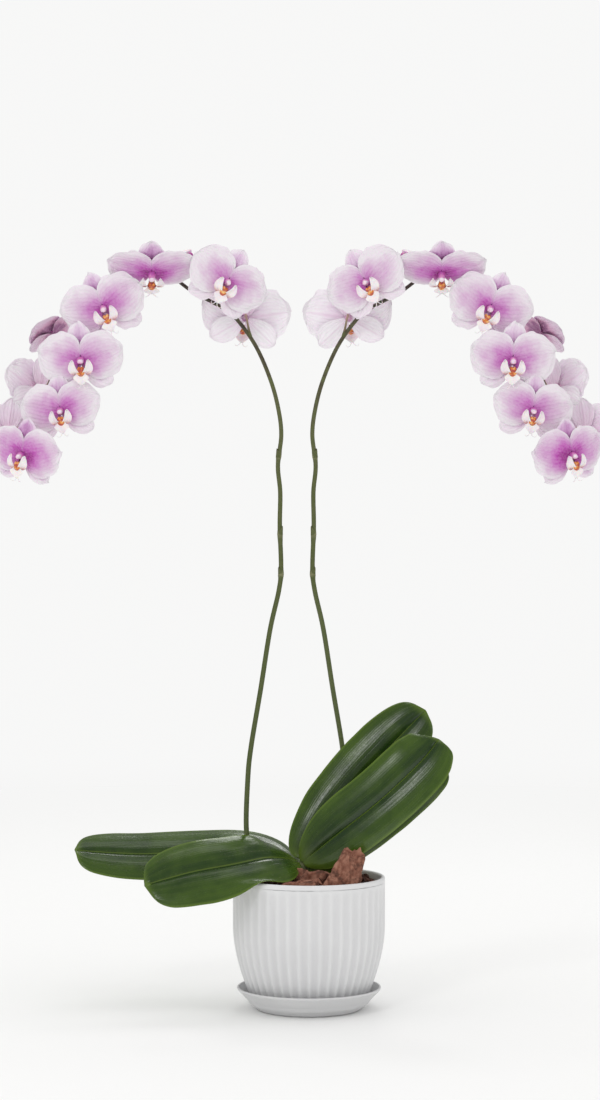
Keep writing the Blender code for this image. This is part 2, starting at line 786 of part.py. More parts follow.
def main():
    start_scene()
    saucer()
    pot()
    crown()
    crown_room = crown("crown_room", CLEARANCE, CUTTERS)
    rooms = [crown_room]
    for name in BARK_CHUNKS:
        bark_chunk(name)
        rooms.append(bark_chunk(name, CLEARANCE, CUTTERS))
    potting_mix(rooms)
    for name in LEAVES:
        leaf(name, crown_room)
    spike("spike_left", -1, crown_room)
    spike("spike_right", 1, crown_room)
    inner = whorl_mesh(inner_whorl_mesh(), "petals", petal_lilac())
    outer = whorl_mesh(outer_whorl_mesh(), "sepals", sepal_lilac())
    flowers("left", -1, inner, outer)
    flowers("right", 1, inner, outer)


main()
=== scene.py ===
"""Potted moth orchid: final meshes, finishes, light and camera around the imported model.

Metres, +Z up, -Y is the front. Places on the plant are measured from the foot of its crown.
"""

import math
import random

import bmesh
import bpy
from mathutils import Matrix, Vector, noise


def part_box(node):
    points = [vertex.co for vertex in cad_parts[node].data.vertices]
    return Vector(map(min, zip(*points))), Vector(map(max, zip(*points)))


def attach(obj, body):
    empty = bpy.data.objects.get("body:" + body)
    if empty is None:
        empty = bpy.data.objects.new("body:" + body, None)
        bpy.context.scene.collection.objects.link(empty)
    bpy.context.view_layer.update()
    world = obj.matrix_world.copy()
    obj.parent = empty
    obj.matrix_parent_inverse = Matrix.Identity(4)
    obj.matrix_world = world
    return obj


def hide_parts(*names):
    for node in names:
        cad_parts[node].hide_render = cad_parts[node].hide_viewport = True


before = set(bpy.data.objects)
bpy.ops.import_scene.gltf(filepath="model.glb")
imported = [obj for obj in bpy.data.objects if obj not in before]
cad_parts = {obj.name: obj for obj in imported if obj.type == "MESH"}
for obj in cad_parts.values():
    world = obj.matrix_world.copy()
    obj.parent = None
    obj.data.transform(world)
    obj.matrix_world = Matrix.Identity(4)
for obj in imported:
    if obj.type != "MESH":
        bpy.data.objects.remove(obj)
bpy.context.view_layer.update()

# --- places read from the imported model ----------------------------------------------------

crown_low, crown_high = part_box("crown")
pot_low, pot_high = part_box("pot")
saucer_low, saucer_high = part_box("saucer")

CROWN_BELOW_BED = 0.03
BED_LEVEL = crown_low.z + CROWN_BELOW_BED
CROWN_FOOT = Vector(((crown_low.x + crown_high.x) / 2, 0, BED_LEVEL))
CROWN_TOP = crown_high.z - 0.006
POT_RADIUS = (pot_high.x - pot_low.x) / 2
POT_BOTTOM = pot_low.z
POT_HEIGHT = pot_high.z - pot_low.z
RIM_LEVEL = pot_high.z
SAUCER_RIM = (saucer_high.x - saucer_low.x) / 2
SAUCER_HEIGHT = saucer_high.z - saucer_low.z

# --- sizes --------------------------------------------------------------------------------

POT_BASE_RADIUS = 0.0515
POT_SHOULDER = 0.0745
POT_CURVE = 1.85
POT_WALL = 0.0036
POT_FLOOR = 0.0045
FLUTES = 44
FLUTE_STEPS = 8
FLUTE_DEPTH = 0.0022
RIM_BAND = 0.0045
DRAIN_RADIUS = 0.006

SPIKE_PLANE = -0.0116
STEM_RADIUS = 0.0025
STEM_TIP_RADIUS = 0.0011
STALK_RADIUS = 0.0010
RECEPTACLE_DEPTH = 0.006

PETAL_LENGTH = 0.0405
PETAL_HALF_WIDTH = 0.0235
PETAL_ANGLE = 16
SEPAL_LENGTH = 0.036
SEPAL_HALF_WIDTH = 0.0115
SEPAL_ANGLES = (90, -40, -140)
BACKWARD_CURVE = 3.4
PETAL_DEPTH = -0.0022
SEPAL_DEPTH = 0.0009
PETAL_THICKNESS = 0.0007
NICK_SHARE = 0.075
PILLOW_HEIGHT = 0.0011
MIDRIB_GROOVE = 0.0007
PETAL_FRILL = 0.0019
SEPAL_FRILL = 0.0008
FRILL_REACH = 0.007
WAVE_REACH = 0.024
SEPAL_FULLNESS = 1.12
# Painted shadow: the upper sepal is darkened where the petals shade it.
UPPER_SEPAL_SHADE = -0.2
LOWER_SEPAL_TONE = 1.6

LEAF_THICKNESS = 0.0019
YOUNG_LEAF_THICKNESS = 0.0011
LEAF_ROLL = 0.0011
LEAF_RIPPLE = 0.00022
RIB_CHANNEL = 0.0011
CHIP_COUNT = 120

CAMERA_PLACE = (-0.00855, -2.375, 0.4351)
CAMERA_LENS = 81.82
SENSOR_WIDTH = 36
SKY_COLOUR = (1.0, 1.0, 0.995, 1)
SKY_STRENGTH = 0.935
SKY_LOSS_IN_GLOSS = -0.62
LIT_PLACE = (0, 0, 0.35)
# place, width, height, watts
SOFT_BOXES = {
    "key_box": ((-0.85, -1.75, 1.35), 0.3, 0.5, 4.4),
    "fill_box": ((1.7, -1.3, 1.0), 0.4, 1.0, 1.2),
    "top_box": ((-0.05, 0.25, 2.2), 0.9, 0.6, 2.4),
    "back_box": ((0.1, 1.5, 1.75), 0.5, 0.35, 3.2),
}
FLOOR_RINGS = 20
FLOOR_RING_WIDTH = 0.15
FLOOR_STEPS = 64
FLOOR_SOLID_TO = 0.9
FLOOR_GONE_AT = 2.9
FLOOR_COLOUR = (0.9, 0.9, 0.895, 1)

SIDES = (("left", -1), ("right", 1))
BLADE_READINGS = ("along", "across", "reach", "face", "painted_light")
CREASE_ANGLE = 50

# --- camera, floor and light --------------------------------------------------------------


def place_camera():
    data = bpy.data.cameras.new("camera")
    data.sensor_width = SENSOR_WIDTH
    data.lens = CAMERA_LENS
    camera = bpy.data.objects.new("camera", data)
    camera.location = CAMERA_PLACE
    camera.rotation_euler = (math.radians(90), 0, 0)
    bpy.context.scene.collection.objects.link(camera)
    bpy.context.scene.camera = camera


def soft_box(name, place, width, height, watts):
    data = bpy.data.lights.new(name, "AREA")
    data.shape = "RECTANGLE"
    data.size = width
    data.size_y = height
    data.energy = watts
    light = bpy.data.objects.new(name, data)
    light.location = place
    away = Vector(LIT_PLACE) - light.location
    light.rotation_euler = away.to_track_quat("-Z", "Y").to_euler()
    light.visible_camera = False
    bpy.context.scene.collection.objects.link(light)


def studio():
    """An even pale sky, weaker where it is mirrored in gloss, and the soft boxes."""
    world = bpy.data.worlds.new("pale_room")
    world.use_nodes = True
    tree = world.node_tree
    background = tree.nodes["Background"]
    background.inputs["Color"].default_value = SKY_COLOUR
    path = add_node(tree, "ShaderNodeLightPath")
    glossy = path.outputs["Is Glossy Ray"]
    strength = maths(tree, "MULTIPLY_ADD", glossy, SKY_LOSS_IN_GLOSS, SKY_STRENGTH)
    tree.links.new(strength, background.inputs["Strength"])
    bpy.context.scene.world = world
    for name, settings in SOFT_BOXES.items():
        soft_box(name, *settings)
    bpy.context.scene.view_settings.view_transform = "Standard"


def pale_floor():
    """Round floor that fades into the even sky, so that it has no edge from any side."""
    rings = [FLOOR_RING_WIDTH * i for i in range(1, FLOOR_RINGS + 1)]
    steps = FLOOR_STEPS
    verts = [(0, 0, 0)]
    for radius in rings:
        for turn in turns(steps):
            verts.append(around(radius, turn))
    faces = [(0, 1 + k, 1 + (k + 1) % steps) for k in range(steps)]
    for r in range(len(rings) - 1):
        low, high = 1 + r * steps, 1 + (r + 1) * steps
        for k in range(steps):
            n = (k + 1) % steps
            faces.append((low + k, high + k, high + n, low + n))
    mesh = bpy.data.meshes.new("pale_floor")
    mesh.from_pydata(verts, [], faces)
    obj = bpy.data.objects.new("pale_floor", mesh)
    bpy.context.scene.collection.objects.link(obj)
    material, tree, shader = begin_finish("pale_floor")
    distance = add_node(
        tree, "ShaderNodeVectorMath", {0: own_places(tree)}, operation="LENGTH"
    ).outputs["Value"]
    tree.links.new(spread(tree, distance, FLOOR_GONE_AT, FLOOR_SOLID_TO), shader["Alpha"])
    shader["Base Color"].default_value = FLOOR_COLOUR
    shader["Roughness"].default_value = 0.95
    shader["Specular IOR Level"].default_value = 0.0
    mesh.materials.append(material)


# --- shader building blocks ---------------------------------------------------------------


def add_node(tree, kind, inputs=None, **settings):
    """Adds a node; inputs maps a socket's name or place to a value or another node's output."""
    node = tree.nodes.new(kind)
    for key, value in settings.items():
        setattr(node, key, value)
    for key, value in (inputs or {}).items():
        socket = node.inputs[key]
        if isinstance(value, bpy.types.NodeSocket):
            tree.links.new(value, socket)
        else:
            socket.default_value = value
    return node


def maths(tree, operation, first, second=0.0, third=0.0):
    inputs = {0: first, 1: second, 2: third}
    return add_node(tree, "ShaderNodeMath", inputs, operation=operation).outputs[0]


def times(tree, first, second):
    return maths(tree, "MULTIPLY", first, second)


def plus(tree, first, second):
    return maths(tree, "ADD", first, second)


def minus(tree, first, second):
    return maths(tree, "SUBTRACT", first, second)


def spread(tree, value, low, high, to_low=0.0, to_high=1.0):
    """Maps low to high onto another range, smoothly and without leaving it."""
    sockets = {"Value": value, "From Min": low, "From Max": high}
    sockets.update({"To Min": to_low, "To Max": to_high})
    node = add_node(tree, "ShaderNodeMapRange", sockets, interpolation_type="SMOOTHSTEP")
    return node.outputs[0]


def blend(tree, share, first, second, blend_type="MIX"):
    node = add_node(tree, "ShaderNodeMix", data_type="RGBA", blend_type=blend_type)
    for place, value in ((0, share), (6, first), (7, second)):
        socket = node.inputs[place]
        if isinstance(value, bpy.types.NodeSocket):
            tree.links.new(value, socket)
        elif place:
            socket.default_value = (*value, 1)
        else:
            socket.default_value = value
    return node.outputs[2]


def noise_texture(tree, place, scale, detail, **more):
    inputs = {"Vector": place, "Scale": scale, "Detail": detail, **more}
    return add_node(tree, "ShaderNodeTexNoise", inputs).outputs["Fac"]


def colour_ramp(tree, value, stops):
    node = add_node(tree, "ShaderNodeValToRGB", {"Fac": value})
    ramp = node.color_ramp
    while len(ramp.elements) < len(stops):
        ramp.elements.new(1.0)
    for element, (place, colour) in zip(ramp.elements, stops):
        element.position = place
        element.color = (*colour, 1)
    return node.outputs["Color"]


def reading(tree, name):
    """A value stored on the mesh's points."""
    return add_node(tree, "ShaderNodeAttribute", attribute_name=name).outputs["Fac"]


def own_places(tree):
    return add_node(tree, "ShaderNodeTexCoord").outputs["Object"]


def new_group(name, inputs, outputs):
    """An empty node group and its input and output nodes."""
    tree = bpy.data.node_groups.new(name, "ShaderNodeTree")
    for label, start in inputs:
        kind = "NodeSocketVector" if start is None else "NodeSocketFloat"
        socket = tree.interface.new_socket(label, in_out="INPUT", socket_type=kind)
        if start is not None:
            socket.default_value = start
    for label in outputs:
        tree.interface.new_socket(label, in_out="OUTPUT", socket_type="NodeSocketFloat")
    return tree, tree.nodes.new("NodeGroupInput").outputs, tree.nodes.new("NodeGroupOutput").inputs


def use_group(tree, group, inputs):
    node = tree.nodes.new("ShaderNodeGroup")
    node.node_tree = group
    for label, value in inputs.items():
        socket = node.inputs[label]
        if isinstance(value, bpy.types.NodeSocket):
            tree.links.new(value, socket)
        else:
            socket.default_value = value
    return node.outputs


def soft_mottle_group():
    """Large soft blotches and small ones, each from 0 to 1."""
    tree, given, put = new_group(
        "soft_mottle", [("Place", None), ("Scale", 60.0)], ["Broad", "Small"]
    )
    broad = noise_texture(tree, given["Place"], given["Scale"], 2.0)
    fine_scale = times(tree, given["Scale"], 7.0)
    small = noise_texture(tree, given["Place"], fine_scale, 4.0)
    tree.links.new(spread(tree, broad, 0.3, 0.7), put["Broad"])
    tree.links.new(spread(tree, small, 0.3, 0.7), put["Small"])
    return tree


def lengthwise_lines_group():
    """Lines that run along a blade or stem, wander a little and fade in and out."""
    tree, given, put = new_group(
        "lengthwise_lines",
        [("Along", 0.0), ("Across", 0.0), ("Lines", 12.0), ("Wander", 1.0), ("Seed", 0.0)],
        ["Lines", "Breaks"],
    )
    stretched = add_node(
        tree,
        "ShaderNodeCombineXYZ",
        {0: times(tree, given["Along"], 3.0), 1: given["Across"], 2: given["Seed"]},
    )
    bend = noise_texture(tree, stretched.outputs[0], 2.2, 2.0)
    offset = times(tree, minus(tree, bend, 0.5), given["Wander"])
    phase = times(tree, given["Across"], given["Lines"])
    wave = maths(tree, "SINE", times(tree, plus(tree, phase, offset), math.pi))
    ridge = maths(tree, "MULTIPLY_ADD", wave, 0.5, 0.5)
    pieces = add_node(
        tree,
        "ShaderNodeCombineXYZ",
        {
            0: times(tree, given["Along"], 9.0),
            1: times(tree, given["Across"], given["Lines"]),
            2: given["Seed"],
        },
    )
    breaks = noise_texture(tree, pieces.outputs[0], 0.9, 3.0)
    tree.links.new(maths(tree, "POWER", ridge, 1.7), put["Lines"])
    tree.links.new(spread(tree, breaks, 0.35, 0.68), put["Breaks"])
    return tree


def edge_band_group():
    """One along a blade's side edges and tip, nothing inside."""
    tree, given, put = new_group(
        "edge_band", [("Along", 0.0), ("Across", 0.0), ("Width", 0.08)], ["Edge"]
    )
    sideways = maths(tree, "ABSOLUTE", given["Across"])
    outer = maths(tree, "MAXIMUM", sideways, given["Along"])
    start = minus(tree, 1.0, given["Width"])
    tree.links.new(spread(tree, outer, start, 1.0), put["Edge"])
    return tree


def bark_layers_group():
    """Layered, cracked bark: height of its plates, and the cracks between them that the finish
    darkens as painted shade.
    """
    tree, given, put = new_group(
        "bark_layers", [("Place", None), ("Scale", 90.0)], ["Height", "CrackShade", "Grain"]
    )
    rough = noise_texture(tree, given["Place"], given["Scale"], 8.0, Roughness=0.68)
    flattened = add_node(
        tree, "ShaderNodeMapping", {"Vector": given["Place"], "Scale": (1.0, 1.0, 0.35)}
    )
    plates = add_node(
        tree,
        "ShaderNodeTexVoronoi",
        {
            "Vector": flattened.outputs[0],
            "Scale": times(tree, given["Scale"], 1.6),
            "Randomness": 1.0,
        },
        feature="DISTANCE_TO_EDGE",
    )
    grain_scale = times(tree, given["Scale"], 9.0)
    grain = noise_texture(tree, flattened.outputs[0], grain_scale, 5.0)
    plate = spread(tree, plates.outputs["Distance"], 0.0, 0.22)
    body = maths(tree, "MULTIPLY_ADD", rough, 0.75, times(tree, plate, 0.18))
    height = maths(tree, "MULTIPLY_ADD", grain, 0.12, body)
    tree.links.new(height, put["Height"])
    tree.links.new(spread(tree, rough, 0.5, 0.34), put["CrackShade"])
    tree.links.new(grain, put["Grain"])
    return tree


def glaze_group():
    """Fired glaze: pin specks and a very slow waviness."""
    tree, given, put = new_group("fired_glaze", [("Place", None)], ["Specks", "Waves", "Clouds"])
    specks = add_node(
        tree, "ShaderNodeTexVoronoi", {"Vector": given["Place"], "Scale": 520.0, "Randomness": 1.0}
    )
    waves = noise_texture(tree, given["Place"], 240.0, 3.0)
    clouds = noise_texture(tree, given["Place"], 26.0, 3.0)
    tree.links.new(spread(tree, specks.outputs["Distance"], 0.16, 0.04), put["Specks"])
    tree.links.new(waves, put["Waves"])
    tree.links.new(spread(tree, clouds, 0.3, 0.7), put["Clouds"])
    return tree


FINE_RELIEF = 0.0002
MOTTLE = soft_mottle_group()
LINES = lengthwise_lines_group()
EDGE = edge_band_group()
BARK = bark_layers_group()
GLAZE = glaze_group()


def mottled(tree, scale):
    return use_group(tree, MOTTLE, {"Place": own_places(tree), "Scale": scale})


def lined(tree, along, across, lines, seed, wander=1.0):
    inputs = {"Along": along, "Across": across, "Lines": lines, "Wander": wander, "Seed": seed}
    return use_group(tree, LINES, inputs)


def edge_of(tree, along, across, width):
    return use_group(tree, EDGE, {"Along": along, "Across": across, "Width": width})["Edge"]


def begin_finish(name):
    material = bpy.data.materials.new(name)
    material.use_nodes = True
    tree = material.node_tree
    return material, tree, tree.nodes["Principled BSDF"].inputs


def bump(tree, shader, height, strength, distance):
    node = add_node(
        tree, "ShaderNodeBump", {"Strength": strength, "Distance": distance, "Height": height}
    )
    tree.links.new(node.outputs[0], shader["Normal"])


def end_finish(tree, shader, skin, rubbed, rough, relief, strength):
    """Links the colour, the roughness over its range, and a fine relief."""
    tree.links.new(skin, shader["Base Color"])
    tree.links.new(spread(tree, rubbed, 0.0, 1.0, *rough), shader["Roughness"])
    bump(tree, shader, relief, strength, FINE_RELIEF)


def let_light_in(shader, share, reach):
    shader["Subsurface Weight"].default_value = share
    shader["Subsurface Scale"].default_value = reach


# --- finishes -----------------------------------------------------------------------------

PALE_PETAL = (0.85, 0.79, 0.85)
PETAL_STOPS = (
    (0.0, (0.38, 0.03, 0.31)),
    (0.15, (0.51, 0.085, 0.45)),
    (0.34, (0.58, 0.22, 0.54)),
    (0.56, (0.65, 0.41, 0.62)),
    (0.78, (0.72, 0.58, 0.7)),
    (1.0, (0.8, 0.74, 0.79)),
)
# Petal backs: their own paler colour raised by painted light shining through them, with a dark
# first stop as painted shade for shaded, half-open flowers.
LIT_PETAL_BACK_STOPS = (
    (0.0, (0.36, 0.14, 0.3)),
    (0.12, (0.7, 0.38, 0.55)),
    (0.35, (0.83, 0.65, 0.78)),
    (0.7, (0.88, 0.78, 0.87)),
    (1.0, (0.93, 0.89, 0.93)),
)
SEPAL_STOPS = (
    (0.0, (0.26, 0.035, 0.22)),
    (0.25, (0.38, 0.09, 0.35)),
    (0.5, (0.55, 0.27, 0.53)),
    (0.75, (0.72, 0.54, 0.71)),
    (1.0, (0.84, 0.76, 0.83)),
)


def bloom_finish(name, front_stops, line_count):
    """Petal skin: colour fades outwards, fan veins, pale rim, and a paler back with a midrib; the
    back is partly painted light shining through, and each flower's painted light and shade moves
    the whole skin.
    """
    material, tree, shader = begin_finish(name)
    along = reading(tree, "along")
    across = reading(tree, "across")
    painted_light = reading(tree, "painted_light")
    mottle = mottled(tree, 75.0)
    fan = lined(tree, along, across, line_count, painted_light, 1.1)
    veins = times(tree, fan["Lines"], fan["Breaks"])
    # Painted light and shade: each flower's stored value makes its skin paler where it is lit and
    # darker where it is shaded.
    outward = plus(tree, reading(tree, "reach"), times(tree, painted_light, 0.16))
    side_fade = times(tree, maths(tree, "POWER", maths(tree, "ABSOLUTE", across), 2.0), 0.4)
    patches = times(tree, minus(tree, mottle["Broad"], 0.5), 0.2)
    pull = times(tree, veins, -0.07)
    value = plus(tree, plus(tree, outward, side_fade), plus(tree, patches, pull))
    front = colour_ramp(tree, value, front_stops)
    back = colour_ramp(tree, plus(tree, outward, patches), LIT_PETAL_BACK_STOPS)
    middle = spread(tree, maths(tree, "ABSOLUTE", across), 0.1, 0.0)
    back = blend(tree, times(tree, middle, 0.22), back, (0.7, 0.36, 0.6))
    back = blend(tree, times(tree, veins, 0.14), back, (0.7, 0.48, 0.66))
    skin = blend(tree, reading(tree, "face"), back, front)
    edge = edge_of(tree, along, across, 0.12)
    skin = blend(tree, times(tree, edge, 0.35), skin, PALE_PETAL)
    freckle = times(tree, mottle["Small"], 0.12)
    skin = blend(tree, freckle, skin, (0.9, 0.84, 0.9))
    tree.links.new(skin, shader["Base Color"])
    tree.links.new(spread(tree, veins, 0.0, 1.0, 0.5, 0.66), shader["Roughness"])
    shader["Subsurface Weight"].default_value = 0.12
    shader["Subsurface Radius"].default_value = (1.0, 0.6, 0.9)
    shader["Subsurface Scale"].default_value = 0.0012
    shader["Specular IOR Level"].default_value = 0.3
    relief = maths(tree, "MULTIPLY_ADD", mottle["Small"], 0.25, fan["Lines"])
    bump(tree, shader, relief, 0.55, 0.00045)
    return material


def lip_finish():
    """White lobes flushed and striped with magenta towards their base."""
    material, tree, shader = begin_finish("lip_lobe_skin")
    along = reading(tree, "along")
    across = reading(tree, "across")
    stripes = lined(tree, along, across, 5.0, 3.1, 0.9)
    mottle = mottled(tree, 260.0)
    base = spread(tree, along, 0.5, 0.05)
    mark = times(tree, times(tree, stripes["Lines"], base), 0.9)
    skin = blend(tree, mottle["Broad"], (0.92, 0.88, 0.86), (0.88, 0.8, 0.86))
    skin = blend(tree, times(tree, base, 0.5), skin, (0.8, 0.42, 0.3))
    skin = blend(tree, mark, skin, (0.42, 0.04, 0.16))
    let_light_in(shader, 0.15, 0.001)
    relief = plus(tree, stripes["Lines"], mottle["Small"])
    end_finish(tree, shader, skin, mottle["Small"], (0.36, 0.52), relief, 0.35)
    return material


def callus_finish():
    """Orange crest of the lip with dark red bars and dots."""
    material, tree, shader = begin_finish("callus_orange")
    mottle = mottled(tree, 330.0)
    bars = lined(tree, reading(tree, "across"), reading(tree, "along"), 6.0, 1.7)
    stops = ((0.0, (0.5, 0.1, 0.03)), (0.5, (0.8, 0.27, 0.04)), (1.0, (0.9, 0.55, 0.22)))
    skin = colour_ramp(tree, mottle["Broad"], stops)
    skin = blend(tree, times(tree, bars["Lines"], 0.7), skin, (0.4, 0.03, 0.08))
    end_finish(tree, shader, skin, mottle["Small"], (0.28, 0.46), mottle["Small"], 0.3)
    return material


def column_finish():
    """Column: magenta at the root, paling to the white pollen cap at its end."""
    material, tree, shader = begin_finish("column_skin")
    mottle = mottled(tree, 300.0)
    value = plus(
        tree, reading(tree, "along"), times(tree, minus(tree, mottle["Broad"], 0.5), 0.2)
    )
    skin = colour_ramp(
        tree,
        value,
        (
            (0.0, (0.4, 0.06, 0.32)),
            (0.45, (0.5, 0.1, 0.4)),
            (0.66, (0.66, 0.26, 0.52)),
            (0.8, (0.84, 0.64, 0.76)),
            (1.0, (0.88, 0.8, 0.82)),
        ),
    )
    let_light_in(shader, 0.15, 0.001)
    end_finish(tree, shader, skin, mottle["Small"], (0.3, 0.5), mottle["Small"], 0.25)
    return material


def leaf_finish(name, deep, mid, light, edge_colour, under_colour, gloss):
    """Waxy leaf: dark mottled green, fine lengthwise grooves, pale edge and duller underside, with
    painted shade along the midrib groove and a painted highlight line beside it.
    """
    material, tree, shader = begin_finish(name)
    along = reading(tree, "along")
    across = reading(tree, "across")
    mottle = mottled(tree, 42.0)
    fine = lined(tree, along, across, 34.0, 0.4, 1.3)
    wide = lined(tree, along, across, 9.0, 5.2, 1.6)
    sideways = maths(tree, "ABSOLUTE", across)
    outward = spread(tree, sideways, 0.1, 0.9, 0.0, 0.6)
    inner = maths(tree, "MULTIPLY_ADD", mottle["Broad"], 0.5, outward)
    body = blend(tree, inner, deep, mid)
    body = blend(tree, times(tree, wide["Lines"], 0.07), body, light)
    streak = times(tree, times(tree, fine["Lines"], fine["Breaks"]), 0.07)
    body = blend(tree, streak, body, light)
    foot = spread(tree, along, 0.22, 0.0, 0.0, 0.55)
    body = blend(tree, foot, body, light)
    # Painted shade: the midrib groove darkened.
    groove_shade = spread(tree, sideways, 0.035, 0.0, 0.0, 0.8)
    body = blend(tree, groove_shade, body, deep)
    # Painted highlight: a light line just beside the midrib groove.
    highlight_line_gap = maths(tree, "ABSOLUTE", minus(tree, across, 0.03))
    body = blend(tree, spread(tree, highlight_line_gap, 0.03, 0.0, 0.0, 0.7), body, light)
    edge = edge_of(tree, along, across, 0.1)
    body = blend(tree, times(tree, edge, 0.7), body, edge_colour)
    under = blend(tree, mottle["Broad"], under_colour, light)
    body = blend(tree, reading(tree, "face"), under, body)
    tree.links.new(body, shader["Base Color"])
    worn = maths(tree, "MULTIPLY_ADD", mottle["Small"], 0.06, times(tree, fine["Breaks"], 0.07))
    tree.links.new(plus(tree, worn, gloss), shader["Roughness"])
    shader["Specular IOR Level"].default_value = 0.5
    grooves = times(tree, fine["Lines"], maths(tree, "MULTIPLY_ADD", fine["Breaks"], 0.7, 0.3))
    relief = plus(tree, grooves, times(tree, wide["Lines"], 0.8))
    relief = plus(tree, relief, times(tree, mottle["Small"], 0.25))
    bump(tree, shader, relief, 0.2, 0.00022)
    return material


def stem_finish():
    """Olive stem: browner towards the flowers, fine ribs, freckles and pale rings at the joints."""
    material, tree, shader = begin_finish("stem_skin")
    along = reading(tree, "along")
    mottle = mottled(tree, 130.0)
    ribs = lined(tree, times(tree, along, 30.0), reading(tree, "across"), 9.0, 2.0)
    value = plus(
        tree, along, times(tree, minus(tree, mottle["Broad"], 0.5), 0.12)
    )
    skin = colour_ramp(
        tree,
        value,
        (
            (0.0, (0.05, 0.085, 0.012)),
            (0.3, (0.08, 0.105, 0.022)),
            (0.5, (0.11, 0.125, 0.04)),
            (0.58, (0.075, 0.065, 0.03)),
            (0.66, (0.035, 0.02, 0.016)),
            (1.0, (0.08, 0.05, 0.035)),
        ),
    )
    skin = blend(tree, times(tree, ribs["Lines"], 0.16), skin, (0.17, 0.18, 0.07))
    skin = blend(tree, times(tree, mottle["Small"], 0.22), skin, (0.05, 0.04, 0.02))
    skin = blend(tree, reading(tree, "ring"), skin, (0.32, 0.3, 0.17))
    relief = plus(tree, ribs["Lines"], mottle["Small"])
    end_finish(tree, shader, skin, mottle["Small"], (0.34, 0.52), relief, 0.4)
    return material


def stalk_finish():
    """Flower stalks: pinkish green, darker where they leave the stem."""
    material, tree, shader = begin_finish("stalk_skin")
    mottle = mottled(tree, 200.0)
    skin = colour_ramp(
        tree,
        reading(tree, "along"),
        (
            (0.0, (0.06, 0.04, 0.025)),
            (0.3, (0.2, 0.17, 0.09)),
            (0.65, (0.5, 0.34, 0.27)),
            (1.0, (0.62, 0.36, 0.45)),
        ),
    )
    skin = blend(tree, times(tree, mottle["Small"], 0.3), skin, (0.35, 0.2, 0.16))
    end_finish(tree, shader, skin, mottle["Small"], (0.38, 0.55), mottle["Small"], 0.3)
    return material


def bark_finish(name, dark, mid, pale, scale):
    material, tree, shader = begin_finish(name)
    layers = use_group(tree, BARK, {"Place": own_places(tree), "Scale": scale})
    mottle = mottled(tree, scale * 0.7)
    # Colour by plate height: darker in the low places as painted shade, paler on the raised plates,
    # partly the bark's own paler layers and partly painted light.
    skin = colour_ramp(tree, layers["Height"], ((0.25, dark), (0.5, mid), (0.78, pale)))
    skin = blend(tree, times(tree, mottle["Broad"], 0.35), skin, mid)
    # Painted shade in the cracks between the plates.
    skin = blend(tree, times(tree, layers["CrackShade"], 0.75), skin, dark)
    skin = blend(tree, times(tree, mottle["Small"], 0.2), skin, pale)
    tree.links.new(skin, shader["Base Color"])
    tree.links.new(spread(tree, layers["Grain"], 0.3, 0.7, 0.72, 0.95), shader["Roughness"])
    shader["Specular IOR Level"].default_value = 0.25
    bump(tree, shader, layers["Height"], 0.9, 0.0014)
    return material


def glaze_finish(name, clean, shade):
    """Satin grey-white glaze with pin specks, greyer in the flutes as painted shade."""
    material, tree, shader = begin_finish(name)
    glaze = use_group(tree, GLAZE, {"Place": own_places(tree)})
    # The shade colour also gives the glaze's own soft clouds.
    skin = blend(tree, times(tree, glaze["Clouds"], 0.2), clean, shade)
    # Painted shade: greyer the deeper a point lies in a flute.
    skin = blend(tree, times(tree, reading(tree, "hollow"), 0.85), skin, shade)
    skin = blend(tree, times(tree, glaze["Specks"], 0.22), skin, (0.36, 0.35, 0.34))
    relief = minus(tree, glaze["Waves"], glaze["Specks"])
    end_finish(tree, shader, skin, glaze["Clouds"], (0.36, 0.46), relief, 0.16)
    return material


FINISHES = {
    "petal": bloom_finish("petal_skin", PETAL_STOPS, 13.0),
    "sepal": bloom_finish("sepal_skin", SEPAL_STOPS, 7.0),
    "lip": lip_finish(),
    "callus": callus_finish(),
    "column": column_finish(),
    "leaf": leaf_finish(
        "leaf_wax",
        (0.011, 0.034, 0.005),
        (0.045, 0.09, 0.008),
        (0.12, 0.18, 0.02),
        (0.12, 0.19, 0.022),
        (0.06, 0.11, 0.02),
        0.17,
    ),
    "young_leaf": leaf_finish(
        "young_leaf_wax",
        (0.13, 0.2, 0.04),
        (0.18, 0.26, 0.06),
        (0.3, 0.38, 0.12),
        (0.3, 0.38, 0.12),
        (0.2, 0.27, 0.08),
        0.26,
    ),
    "stem": stem_finish(),
    "stalk": stalk_finish(),
    "bark": bark_finish(
        "rust_bark", (0.025, 0.008, 0.006), (0.19, 0.072, 0.045), (0.5, 0.26, 0.18), 80.0
    ),
    # Dark bark for the bed and loose chips: partly the bark's own darker colour, partly painted
    # shade for the gaps and hollows among the chips.
    "chips": bark_finish(
        "dark_bark_and_shade", (0.012, 0.005, 0.004), (0.07, 0.024, 0.015), (0.22, 0.09, 0.06), 120.0
    ),
    "pot": glaze_finish("pot_glaze", (0.74, 0.74, 0.745), (0.6, 0.6, 0.61)),
    "saucer": glaze_finish("saucer_glaze", (0.64, 0.64, 0.645), (0.56, 0.56, 0.57)),
}

# --- mesh building blocks -----------------------------------------------------------------


